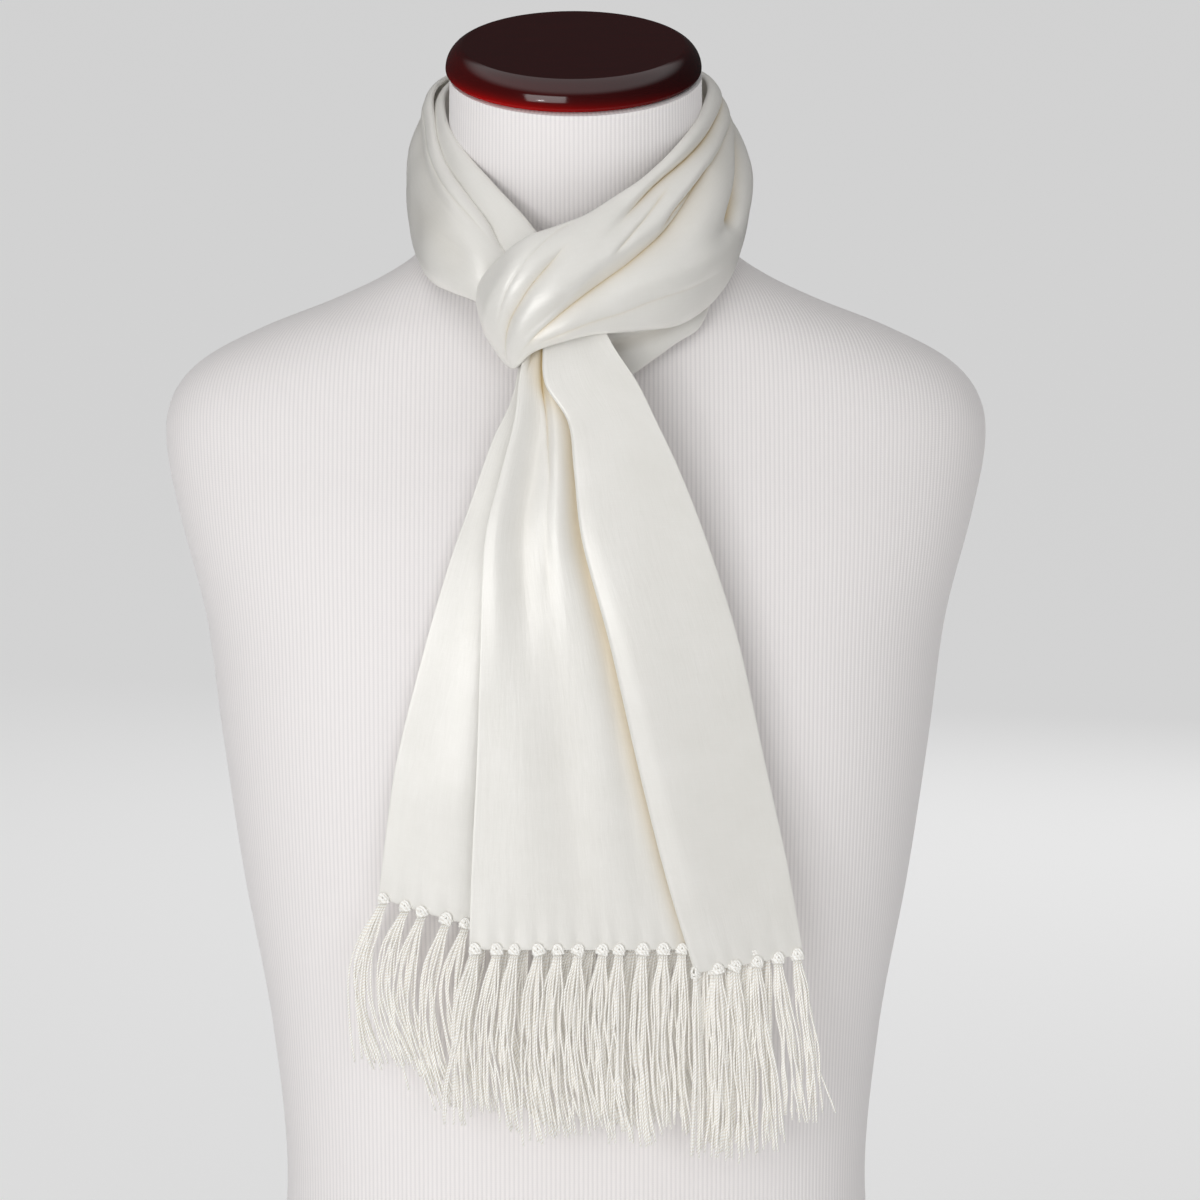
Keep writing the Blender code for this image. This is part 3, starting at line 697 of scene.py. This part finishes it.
def knots(name, node, stations, seed):
    """A knot at each station, leant and sized by chance, and turned along the hem."""
    chance = random.Random(seed)
    bm = bmesh.new()
    for station in stations:
        lean = Matrix.Rotation(chance.uniform(-KNOT_TURN, KNOT_TURN), 4, "Y")
        size = Matrix.Scale(chance.uniform(*KNOT_SIZES), 4)
        turned = Matrix.Rotation(math.atan2(station.along.y, station.along.x), 4, "Z")
        pose = Matrix.Translation(station.place) @ turned @ lean @ size
        add_copy(bm, knot_mesh, lambda point: pose @ point)
    return new_piece(bm, name, node)


front_knots = knots("front_knots", "fringe_front", front_stations, 3)
back_knots = knots("back_knots", "fringe_back", back_stations, 4)

# %% [markdown]
# ## Cords
#
# Each tassel has thirteen thin cords of two twisted plies. They leave the collar close together, spread to a
# flat bunch, and swing a little as they fall. A few at the corners stray further, and they are listed by
# piece, tassel and cord. Hundreds of cords need a plain mesh, so one straight cord of a few dozen faces is
# made first. Every copy of it is then bent along its own path, and the twist is left to the finish, which
# reads it from the cord's UV map.

# %% One straight cord
CORDS_PER_TASSEL = 13
CORD_RADIUS = 0.52 * MM
CORD_SIDES = 5
CORD_STEPS = 14
FRINGE_LENGTH = 88 * MM
CORD_START = 2.2 * MM


def cord_template():
    """A straight cord of length 1 down -Z, with UVs of turns around it and metres along it."""
    bm = bmesh.new()
    made = bmesh.ops.create_cone(
        bm, cap_ends=False, segments=CORD_SIDES, radius1=CORD_RADIUS, radius2=CORD_RADIUS, depth=1
    )
    bmesh.ops.translate(bm, verts=made["verts"], vec=(0, 0, -0.5))
    upright = [edge for edge in bm.edges if abs(edge.verts[0].co.z - edge.verts[1].co.z) > 0.5]
    bmesh.ops.subdivide_edges(bm, edges=upright, cuts=CORD_STEPS - 1, use_grid_fill=True)
    uv = bm.loops.layers.uv.new("twist")
    for face in bm.faces:
        middle = face.calc_center_median()
        around = math.atan2(middle.y, middle.x)
        for loop in face.loops:
            turn = math.atan2(loop.vert.co.y, loop.vert.co.x)
            turn += math.tau * round((around - turn) / math.tau)
            loop[uv].uv = (turn / math.tau, -loop.vert.co.z * FRINGE_LENGTH)
    for end in (0, -1):
        rim = [edge for edge in bm.edges if all(abs(vert.co.z - end) < 0.01 for vert in edge.verts)]
        bmesh.ops.contextual_create(bm, geom=rim)
    bmesh.ops.recalc_face_normals(bm, faces=bm.faces)
    mesh = bpy.data.meshes.new("cord_template")
    bm.to_mesh(mesh)
    bm.free()
    return mesh


cord_mesh = cord_template()
print("one cord:", len(cord_mesh.polygons), "faces")

# %% Bend a copy of it along each path
BUNCH_WIDTH = 4.7 * MM
BUNCH_DEPTH = 1.9 * MM
TASSEL_SPREAD = 10 * MM
TASSEL_LEAN = 3 * MM
TASSEL_DRIFT = 1.6 * MM
CORD_DRIFT = 2.2 * MM
CORD_DEPTH_DRIFT = 1.0 * MM
CORD_TURN = 2.4
PATH_LOOK = 0.02
BOWS = {"front": 1 * MM, "back": 6 * MM}
STRAYS = {
    ("front_cords", 23, 12): 15 * MM, ("front_cords", 23, 9): 6 * MM, ("front_cords", 0, 11): -9 * MM,
    ("front_cords", 0, 7): -6 * MM, ("back_cords", 0, 11): -9 * MM, ("back_cords", 0, 12): -5 * MM,
}


def tassel_swing(share, t, bow):
    """How far a tassel has swung to the side, this share of the way down, as its solid does."""
    outward = (share - 0.5) * TASSEL_SPREAD * math.sin(math.pi * t * 0.8)
    lean = TASSEL_LEAN * t**1.5 * math.sin(9 * share - 0.9)
    return outward + lean + bow * (0.8 * t**2 - math.sin(math.pi * t**0.9))


def cords(name, node, stations, bow, seed):
    """A bunch of cords at each station, each with a length, a drift and a wave of its own by chance."""
    chance = random.Random(seed)
    bm = bmesh.new()
    for index, station in enumerate(stations):
        share = index / (TASSEL_COUNT - 1)
        side = Vector((station.along.x, station.along.y, 0)).normalized()
        front = Vector((side.y, -side.x, 0))
        uneven = 0.05 * math.sin(4.8 * index) + 0.03 * math.sin(10.2 * index + 1)
        tassel_length = FRINGE_LENGTH * (1 + uneven - 0.10 * (2 * share - 1) ** 4)
        tassel_drift = chance.gauss(0, TASSEL_DRIFT)
        for k in range(CORDS_PER_TASSEL):
            angle, ring = k * CORD_TURN, math.sqrt((k + 0.5) / CORDS_PER_TASSEL)
            across, deep = ring * math.cos(angle), ring * math.sin(angle)
            length = tassel_length * chance.uniform(0.93, 1.05)
            drift = chance.gauss(0, CORD_DRIFT) + STRAYS.get((name, index, k), 0)
            depth_drift = chance.gauss(0, CORD_DEPTH_DRIFT)
            wave, phase = chance.uniform(0.3, 0.9) * MM, chance.uniform(0, math.tau)
            beat = chance.uniform(1.2, 2.4)

            def path(t):
                opened = 0.42 + 0.58 * ramp(t / 0.22) + 0.35 * t**2
                sideways = across * BUNCH_WIDTH * opened + drift * t**1.8
                sideways += wave * (math.sin(math.tau * beat * t + phase) - math.sin(phase)) * min(t * 3, 1)
                forwards = deep * BUNCH_DEPTH * opened + depth_drift * t**1.5
                swing = tassel_swing(share, t, bow) + tassel_drift * t**1.5
                start = station.place + Vector((swing, 0, -CORD_START - length * t))
                return start + side * sideways + front * forwards

            def bent(point):
                t = -point.z
                ahead = (path(t + PATH_LOOK) - path(max(t - PATH_LOOK, 0))).normalized()
                tilt = Vector((0, 0, -1)).rotation_difference(ahead)
                return path(t) + tilt @ Vector((point.x, point.y, 0))

            add_copy(bm, cord_mesh, bent)
    return new_piece(bm, name, node)


front_cords = cords("front_cords", "fringe_front", front_stations, BOWS["front"], 11)
back_cords = cords("back_cords", "fringe_back", back_stations, BOWS["back"], 12)

# %% [markdown]
# ## The dress form
#
# The form is a smooth padded torso without limbs, in a tight cover of fine ribbed jersey. Its rings are
# superellipses, squarer than an oval at the chest and round at the neck. A grid is bent round them, and its
# two side edges are merged at the back. The UV map holds metres round from the front and metres up, so the
# ribs keep their width wherever the form swells. Its foot is rounded, and it has a seam down each side.

# %% Rings of the form
Ring = namedtuple("Ring", "height half_width front back square tilt")
FORM_RINGS = [
    Ring(0, 160, -108, 104, 2.3, 0),
    Ring(60, 164, -110, 108, 2.3, 0),
    Ring(130, 160, -106, 106, 2.3, 0),
    Ring(215, 146, -100, 90, 2.3, 0),
    Ring(300, 152, -105, 92, 2.3, 0),
    Ring(380, 166, -115, 103, 2.4, 0),
    Ring(450, 176, -121, 111, 2.5, 0),
    Ring(510, 184, -118, 115, 2.5, 0),
    Ring(560, 197, -105, 112, 2.5, 0),
    Ring(595, 204, -90, 104, 2.4, 0),
    Ring(618, 201, -79, 95, 2.4, 0),
    Ring(636, 186, -72, 87, 2.3, 0),
    Ring(652, 156, -67, 80, 2.2, 0),
    Ring(666, 121, -64, 74, 2.1, 0),
    Ring(679, 94, -61, 68, 2.1, 0),
    Ring(692, 76, -60, 63, 2.0, 2),
    Ring(708, 66, -60, 57, 2.0, 5),
    Ring(728, 62.5, -64, 53, 2.0, 8),
    Ring(750, 62.5, -69, 50, 2.0, 12),
    Ring(778.3, 62, -75.5, 47, 2.0, 15),
]
FORM_AROUND = 160
FORM_UP = 152
FOOT_ROUND = 4 * MM
FOOT_STEPS = [0, 0.02, 0.04]
FOOT_SHARP_FROM = math.radians(50)
FRONT, SIDES = FORM_AROUND // 2, (FORM_AROUND // 4, 3 * FORM_AROUND // 4)


def ring_place(ring, turn, inset):
    """A point of a ring, this share of the way round it from the middle of the back."""
    angle = math.tau * (turn + 0.25)
    power = 2 / ring.square
    x = math.copysign(abs(math.cos(angle)) ** power, math.cos(angle)) * ring.half_width
    y = math.copysign(abs(math.sin(angle)) ** power, math.sin(angle)) * (ring.back - ring.front) / 2
    rise = y * math.tan(math.radians(ring.tilt))
    place = Vector((x, y, 0)) * (1 - inset / (Vector((x, y, 0)).length * MM))
    return Vector((place.x, place.y + (ring.front + ring.back) / 2, ring.height + rise)) * MM


def form_ring(at):
    ring = Ring(*(eased([getattr(row, field) for row in FORM_RINGS], at) for field in Ring._fields))
    low = max(FOOT_ROUND - ring.height * MM, 0)
    inset = FOOT_ROUND - math.sqrt(FOOT_ROUND**2 - low**2)
    return [ring_place(ring, i / FORM_AROUND, inset) for i in range(FORM_AROUND + 1)]


# %% Cover the form
heights = FOOT_STEPS + even_shares(FORM_UP - 2, 0, len(FORM_RINGS) - 1)[1:]
rings = [form_ring(at) for at in heights]
rounds = [distances(ring) for ring in rings]


def cover_point(i, j):
    """A point of the cover, its metres round from the front and up, and millimetres to a side seam."""
    place, reach = rings[j][i], rounds[j]
    seam_away = min(abs(reach[i] - reach[side]) for side in SIDES)
    return place, (reach[i] - reach[FRONT], place.z), seam_away / MM


bm = bent_grid(FORM_AROUND, FORM_UP, "cover", "seam", cover_point)
bmesh.ops.remove_doubles(bm, verts=bm.verts, dist=0.01 * MM)
bmesh.ops.holes_fill(bm, edges=[edge for edge in bm.edges if edge.is_boundary])
bmesh.ops.recalc_face_normals(bm, faces=bm.faces)
form = new_piece(bm, "form_jersey", "dress_form")
form.data.set_sharp_from_angle(angle=FOOT_SHARP_FROM)

# %% [markdown]
# ## The neck cap
#
# The cap is a turned disc of lacquered wood that tilts forwards with the neck. Its profile is half of its
# section: a flat top, a slight edge where a wide round shoulder starts, and a small round below. `spin` turns
# the profile about the axis, as a lathe would.

# %% Turn the cap
CAP_RADIUS = 63 * MM
CAP_THICKNESS = 15 * MM
CAP_CENTRE = Vector((-1, -14, 786.4)) * MM
SHOULDER_RADIUS = 12.6 * MM
SHOULDER_START = math.radians(20)
CAP_LOW_ROUND = CAP_THICKNESS - SHOULDER_RADIUS * math.cos(SHOULDER_START)
NECK_TILT = math.radians(15)
CAP_SEGMENTS = 128
CAP_SHARP_FROM = math.radians(15)


def arc(centre, radius, start, end, steps):
    """An arc in the XZ plane, as points."""
    return [
        Vector((centre[0] + radius * math.cos(angle), 0, centre[1] + radius * math.sin(angle)))
        for angle in even_shares(steps, start, end)
    ]


half = CAP_THICKNESS / 2
widest = CAP_LOW_ROUND - half
profile = [Vector((0, 0, -half)), Vector((CAP_RADIUS * 0.5, 0, -half))]
profile += arc((CAP_RADIUS - CAP_LOW_ROUND, widest), CAP_LOW_ROUND, -math.pi / 2, 0, 8)
profile += arc((CAP_RADIUS - SHOULDER_RADIUS, widest), SHOULDER_RADIUS, 0, math.pi / 2 - SHOULDER_START, 18)
profile += [Vector((CAP_RADIUS * 0.5, 0, half)), Vector((0, 0, half))]
bm = bmesh.new()
verts = [bm.verts.new(place) for place in profile]
edges = [bm.edges.new(pair) for pair in zip(verts, verts[1:])]
bmesh.ops.spin(
    bm, geom=verts + edges, cent=(0, 0, 0), axis=(0, 0, 1), angle=math.tau, steps=CAP_SEGMENTS, use_merge=True
)
bmesh.ops.remove_doubles(bm, verts=bm.verts, dist=0.01 * MM)
bmesh.ops.recalc_face_normals(bm, faces=bm.faces)
bmesh.ops.rotate(bm, verts=bm.verts, cent=(0, 0, 0), matrix=Matrix.Rotation(NECK_TILT, 3, "X"))
bmesh.ops.translate(bm, verts=bm.verts, vec=CAP_CENTRE)
cap = new_piece(bm, "cap_wood", "neck_cap")
cap.data.set_sharp_from_angle(angle=CAP_SHARP_FROM)

# %% [markdown]
# ## Shader sums as Python
#
# A finish is mostly arithmetic on textures, and a long chain of Math nodes is hard to read. So one small
# class wraps a socket and gives it Python's operators. Each operator adds its Math node, and any other node
# comes from one method.

# %% A socket that takes part in sums
class Shade:
    """A socket of a material's node tree, which can be added, multiplied and fed to other nodes."""

    def __init__(self, tree, socket=None):
        self.tree = tree
        self.socket = socket

    def node(self, kind, values=None, output=0, **settings):
        """A node with its settings, and then the values or links of its inputs."""
        made = self.tree.nodes.new(kind)
        for name, value in settings.items():
            setattr(made, name, value)
        for name, value in (values or {}).items():
            if isinstance(value, Shade):
                self.tree.links.new(value.socket, made.inputs[name])
            else:
                made.inputs[name].default_value = value
        return Shade(self.tree, made.outputs[output])

    def maths(self, operation, *values):
        return self.node("ShaderNodeMath", dict(enumerate(values)), operation=operation)

    def __add__(self, other):
        return self.maths("ADD", self, other)

    def __sub__(self, other):
        return self.maths("SUBTRACT", self, other)

    def __rsub__(self, other):
        return self.maths("SUBTRACT", other, self)

    def __mul__(self, other):
        return self.maths("MULTIPLY", self, other)

    def __pow__(self, other):
        return self.maths("POWER", self, other)

    __radd__ = __add__
    __rmul__ = __mul__

    def wave(self):
        """A sine of a value in turns, brought to 0 to 1."""
        return self.maths("SINE", self * math.tau) * 0.5 + 0.5

    def clamped(self):
        return self.node("ShaderNodeClamp", {"Value": self})

    def colours(self, low, high):
        """A colour between two colours, by this value as a share."""
        return self.node("ShaderNodeMix", {0: self, 6: low, 7: high}, output=2, data_type="RGBA")

    def parts(self):
        """The X and Y of a vector."""
        split = self.tree.nodes.new("ShaderNodeSeparateXYZ")
        self.tree.links.new(self.socket, split.inputs[0])
        return Shade(self.tree, split.outputs[0]), Shade(self.tree, split.outputs[1])


def finish(name, constants):
    """A material, its Principled shader with these constants, and a Shade to start sums from."""
    made = bpy.data.materials.new(name)
    made.use_nodes = True
    shader = made.node_tree.nodes["Principled BSDF"]
    for socket, value in constants.items():
        shader.inputs[socket].default_value = value
    return made, shader, Shade(made.node_tree)


def colour(red, green, blue):
    """A colour given as it looks on screen, turned to the linear values that shaders use."""
    linear = [((v / 255 + 0.055) / 1.055) ** 2.4 if v > 10 else v / 255 / 12.92 for v in (red, green, blue)]
    return (*linear, 1)


def feed(made, shader, socket, value):
    made.node_tree.links.new(value.socket, shader.inputs[socket])


# %% [markdown]
# ## Silk satin
#
# Satin shows its long warp threads, so it looks smooth and has a soft shine. Its finish is ivory, with
# painted warm shade in the depth of a fold, where light has bounced from cloth to cloth. Fine noise drawn out
# along the cut gives the warp, and noise drawn out across it the filling. Broader streaks along the cut and a
# soft mottle of the colour give the slight unevenness of silk. It is all drawn on the map of the cut.

# %% The satin's finish
TINT_PER_MM = 0.33
TINT_CURVE = 1.6
SATIN_ROUGHNESS = 0.36
WARP_RISE, FILLING_RISE, STREAK_RISE = 0.025, 0.015, 0.10


def satin_finish():
    made, shader, start = finish("ivory_satin", {
        "Specular IOR Level": 0.8, "Metallic": 0.12, "Sheen Weight": 0.05, "Sheen Roughness": 0.4,
    })
    cut = start.node("ShaderNodeUVMap", uv_map="cut")
    across, along = cut.parts()
    hollow = start.node("ShaderNodeAttribute", attribute_name="hollow", output=2)

    def drawn_out(per_metre_across, per_metre_along, detail):
        """Noise with this many turns in a metre of the cut each way."""
        place = start.node("ShaderNodeCombineXYZ", {0: across * per_metre_across, 1: along * per_metre_along})
        return start.node("ShaderNodeTexNoise", {"Vector": place, "Scale": 1.0, "Detail": detail})

    warp, filling = drawn_out(2600, 140, 2.0), drawn_out(120, 1900, 1.0)
    cloud = start.node("ShaderNodeTexNoise", {"Vector": cut, "Scale": 38.0, "Detail": 3.0})
    # painted warm shade: the deeper in a fold, the more golden the ivory
    depth = (hollow * TINT_PER_MM).clamped() ** TINT_CURVE
    bright = depth.colours(colour(243, 241, 236), colour(215, 193, 148))
    dull = depth.colours(colour(237, 235, 229), colour(205, 183, 138))
    mottle = (cloud * 1.6 + warp * 0.7 + filling * 0.5 - 0.9).clamped()
    feed(made, shader, "Base Color", mottle.colours(bright, dull))
    feed(made, shader, "Roughness", warp * 0.08 + filling * 0.04 + SATIN_ROUGHNESS)
    height = warp * WARP_RISE + filling * FILLING_RISE + drawn_out(420, 60, 2.0) * STREAK_RISE
    bump = start.node("ShaderNodeBump", {"Strength": 1.0, "Distance": 1 * MM, "Height": height})
    feed(made, shader, "Normal", bump)
    return made


satin = satin_finish()
for piece in (neck_wrap, inner_wrap, under_strand, front_end, back_end):
    piece.data.materials.append(satin)

# %% [markdown]
# ## Twisted silk cord
#
# Two shiny plies are twisted together, so a cord has slanting bright turns with painted shade between them.
# The UV map counts turns around the cord and metres along it, and one wave of their sum is the twist. A knot
# has no such map, so its turns are counted on a slant through the object, and its grooves are fainter. A
# little light of its own stands for what shines through thin silk from behind.

# %% The yarn's finish
TWIST_PITCH = 1.7 * MM
PLIES = 2
PLY_RISE = 0.10 * MM
KNOT_SLANT = 0.6


def yarn_finish(name, turns_of, glow, groove_share, bump_strength):
    """The yarn. turns_of(start) counts the turns of its twist at each point."""
    made, shader, start = finish(name, {
        "Roughness": 0.38, "Specular IOR Level": 0.5, "Sheen Weight": 0.15, "Sheen Roughness": 0.4,
        "Emission Color": (1, 0.98, 0.95, 1), "Emission Strength": glow,
    })
    ply = turns_of(start).wave()
    # painted shade: the colour darkens in the groove between the plies
    groove_shade = (1 - ply) ** 3 * groove_share
    feed(made, shader, "Base Color", groove_shade.colours(colour(255, 254, 250), colour(214, 207, 194)))
    bump = start.node("ShaderNodeBump", {"Strength": bump_strength, "Distance": PLY_RISE, "Height": ply})
    feed(made, shader, "Normal", bump)
    return made


def cord_turns(start):
    around, along = start.node("ShaderNodeUVMap", uv_map="twist").parts()
    return around * PLIES + along * (1 / TWIST_PITCH)


def knot_turns(start):
    place = {"Vector": start.node("ShaderNodeTexCoord", output=3), "Angle": KNOT_SLANT}
    x, y = start.node("ShaderNodeVectorRotate", place, rotation_type="Y_AXIS").parts()
    return (x + y) * (1 / TWIST_PITCH)


cord_finish = yarn_finish("silk_cord", cord_turns, 0.08, 1.0, 0.4)
knot_finish = yarn_finish("silk_knot", knot_turns, 0.03, 0.5, 0.2)
for piece, material in ((front_cords, cord_finish), (back_cords, cord_finish),
                        (front_knots, knot_finish), (back_knots, knot_finish)):
    piece.data.materials.append(material)

# %% [markdown]
# ## Ribbed jersey
#
# The cover is a fine rib: rows of knit that run up the form, with a shallow groove between them. The groove
# is a wave round the form, the stitches are a quicker wave up it, and both are faint, in the bump and as
# painted shade in the colour. A narrow seam runs down each side, where the distance to it is stored on the
# points.

# %% The cover's finish
RIB_PITCH = 2.27 * MM
STITCH_PITCH = 1.1 * MM
SEAM_NARROWNESS = 0.8


def jersey_finish():
    made, shader, start = finish("ribbed_jersey", {
        "Roughness": 0.85, "Specular IOR Level": 0.25, "Sheen Weight": 0.3, "Sheen Roughness": 0.6,
    })
    around, up = start.node("ShaderNodeUVMap", uv_map="cover").parts()
    seam_away = start.node("ShaderNodeAttribute", attribute_name="seam", output=2)
    rib = (around * (1 / RIB_PITCH)).wave()
    stitch = (up * (1 / STITCH_PITCH) + rib * 0.35).wave()
    stitched = start.maths("EXPONENT", (seam_away * SEAM_NARROWNESS) ** 2 * -1)
    groove_shade = (1 - rib) ** 2
    # painted shade: the colour darkens in the grooves between the ribs and the stitches; the seam lines are
    # darker too
    dark = (groove_shade * 0.8 + stitched * 0.5 + (1 - stitch) * 0.12).clamped()
    feed(made, shader, "Base Color", dark.colours(colour(247, 243, 242), colour(231, 227, 227)))
    height = rib * 0.75 + stitch * 0.15 - stitched * 1.5
    bump = start.node("ShaderNodeBump", {"Strength": 0.3, "Distance": 0.3 * MM, "Height": height})
    feed(made, shader, "Normal", bump)
    return made


form.data.materials.append(jersey_finish())

# %% [markdown]
# ## Mahogany lacquer
#
# The cap is dark red wood under clear lacquer, and the coat gives it its sharp gloss. The flat top is nearly
# black, with fine grain. Painted light makes the rim glow bright red low on the front of the rounded
# edge, and painted shade darkens the rim and the side towards the right. The material reads the object's own
# coordinates, because a turned piece has no better map: its height through the cap, and how far right and how
# far forward a point lies.

# %% The lacquer's finish
def lacquer_finish():
    made, shader, start = finish("mahogany_lacquer", {
        "Specular IOR Level": 0.0, "Coat Roughness": 0.1, "Coat IOR": 1.65,
    })
    place = start.node("ShaderNodeTexCoord", output=3)
    axis = Vector((0, -math.sin(NECK_TILT), math.cos(NECK_TILT)))
    from_centre = start.node("ShaderNodeVectorMath", {0: place, 1: CAP_CENTRE}, operation="SUBTRACT")
    height = start.node("ShaderNodeVectorMath", {0: from_centre, 1: axis}, output=1, operation="DOT_PRODUCT")
    grain_at = start.node("ShaderNodeMapping", {"Vector": from_centre, "Scale": (40, 420, 60)})
    grain = start.node("ShaderNodeTexNoise", {"Vector": grain_at, "Scale": 1.0, "Detail": 4.0})
    x, y = from_centre.parts()
    below = 0.5 - height * (1 / CAP_THICKNESS)
    low = (below * 1.3 - 0.3).clamped()
    right = (x * (0.5 / CAP_RADIUS) + 0.5).clamped()
    front = (y * (-1.5 / CAP_RADIUS) - 0.1).clamped()
    top = grain.colours(colour(44, 9, 10), colour(58, 12, 13))
    # painted shade: the side below the flat top turns darker towards the right
    side = right.colours(colour(70, 12, 12), colour(34, 8, 9))
    # painted light: the rim glows bright red low at the front left, and painted shade darkens it towards the
    # right
    rim = right.colours(colour(235, 8, 6), colour(60, 5, 5))
    wood = (below * 6).clamped().colours(top, side)
    feed(made, shader, "Base Color", (low**4 * front).colours(wood, rim))
    feed(made, shader, "Coat Weight", (1 - low * 0.8).clamped())
    return made


cap.data.materials.append(lacquer_finish())

# %% [markdown]
# ## What is cloth
#
# The five sheets of satin are the cloth, each with the width that it was cut to, as far as it shows, on its
# map of the cut.

# %% [markdown]
# ## Floor, light and camera
#
# The floor is a wide pale disc that glows a little, so it fills the view behind the form. The light is soft.
# A broad key lamp at the front left draws the sheen along the folds. A fill lamp at the right and one behind
# lighten the shadows, and neither they nor the floor show in gloss. A small window lamp at the left gives the
# cap's edge its bright mark. The sky is bright only overhead, for the shine on the cap's shoulder, and a dark
# patch of it high behind keeps the cap's top dark. The camera stands three metres away with a long lens, a
# little above the neck, as the photographer's did.

# %% The stage
FLOOR_RADIUS = 60
FLOOR_GLOW = 0.42
bm = bmesh.new()
bmesh.ops.create_circle(bm, cap_ends=True, segments=128, radius=FLOOR_RADIUS)
mesh = bpy.data.meshes.new("floor")
bm.to_mesh(mesh)
bm.free()
floor = bpy.data.objects.new("floor", mesh)
bpy.context.scene.collection.objects.link(floor)
floor.visible_glossy = False
floor_finish, shader, start = finish("pale_floor", {
    "Base Color": colour(188, 188, 188), "Roughness": 0.8, "Specular IOR Level": 0.1,
    "Emission Color": (1, 1, 1, 1), "Emission Strength": FLOOR_GLOW,
})
floor.data.materials.append(floor_finish)

# %% The lights
SKY_DARK = 0.04
SKY_BRIGHT = 0.7
Patch = namedtuple("Patch", "axis edge full")
OVERHEAD = Patch((0, -0.15, 0.99), 0.45, 0.75)
HIGH_BEHIND = Patch((0, 0.84, 0.545), 0.84, 0.93)
world = bpy.data.worlds.new("studio")
world.use_nodes = True
world.node_tree.nodes["Background"].inputs["Color"].default_value = (1, 1, 1, 1)
bpy.context.scene.world = world
bpy.context.scene.view_settings.view_transform = "Standard"
sky = Shade(world.node_tree)
direction = sky.node("ShaderNodeTexCoord", output=0)


def within(patch):
    """A soft patch of sky round an axis: 0 at the cosine of its edge, 1 at that of its full part."""
    pair = {0: direction, 1: patch.axis}
    cosine = sky.node("ShaderNodeVectorMath", pair, output=1, operation="DOT_PRODUCT")
    limits = {0: cosine, 1: patch.edge, 2: patch.full, 3: 0, 4: 1}
    return sky.node("ShaderNodeMapRange", limits, interpolation_type="SMOOTHSTEP")


strength = within(OVERHEAD) * (1 - within(HIGH_BEHIND)) * SKY_BRIGHT + SKY_DARK
world.node_tree.links.new(strength.socket, world.node_tree.nodes["Background"].inputs["Strength"])

SoftBox = namedtuple("SoftBox", "name place aim size power shines")
SOFT_BOXES = [
    SoftBox("key", (-1.15, -2.6, 0.85), (0, -0.05, 0.6), (1.8, 1.4), 26, True),
    SoftBox("fill", (0.8, -2.7, 1.05), (0, -0.05, 0.6), (1.2, 1.2), 9, False),
    SoftBox("back", (0.6, 2.4, 1.3), (0, 0, 0.5), (1.6, 1.6), 10, False),
    SoftBox("window", (-1.35, -2.5, 0.5), (0, -0.05, 0.76), (0.24, 0.08), 2.4, True),
]
for box in SOFT_BOXES:
    lamp = bpy.data.lights.new(box.name, "AREA")
    lamp.shape = "RECTANGLE"
    lamp.size, lamp.size_y = box.size
    lamp.energy = box.power
    made = bpy.data.objects.new(box.name, lamp)
    made.visible_glossy = box.shines
    made.location = box.place
    made.rotation_euler = (Vector(box.aim) - Vector(box.place)).to_track_quat("-Z", "Y").to_euler()
    bpy.context.scene.collection.objects.link(made)

# %% The camera
CAMERA_PLACE = (0.012, -2.9708, 0.9335)
CAMERA_TILT = math.radians(82)
LENS, SENSOR = 180, 36
view = bpy.data.cameras.new("photo_view")
view.lens = LENS
view.sensor_width = SENSOR
camera = bpy.data.objects.new("photo_view", view)
camera.location = CAMERA_PLACE
camera.rotation_euler = (CAMERA_TILT, 0, 0)
bpy.context.scene.collection.objects.link(camera)
bpy.context.scene.camera = camera
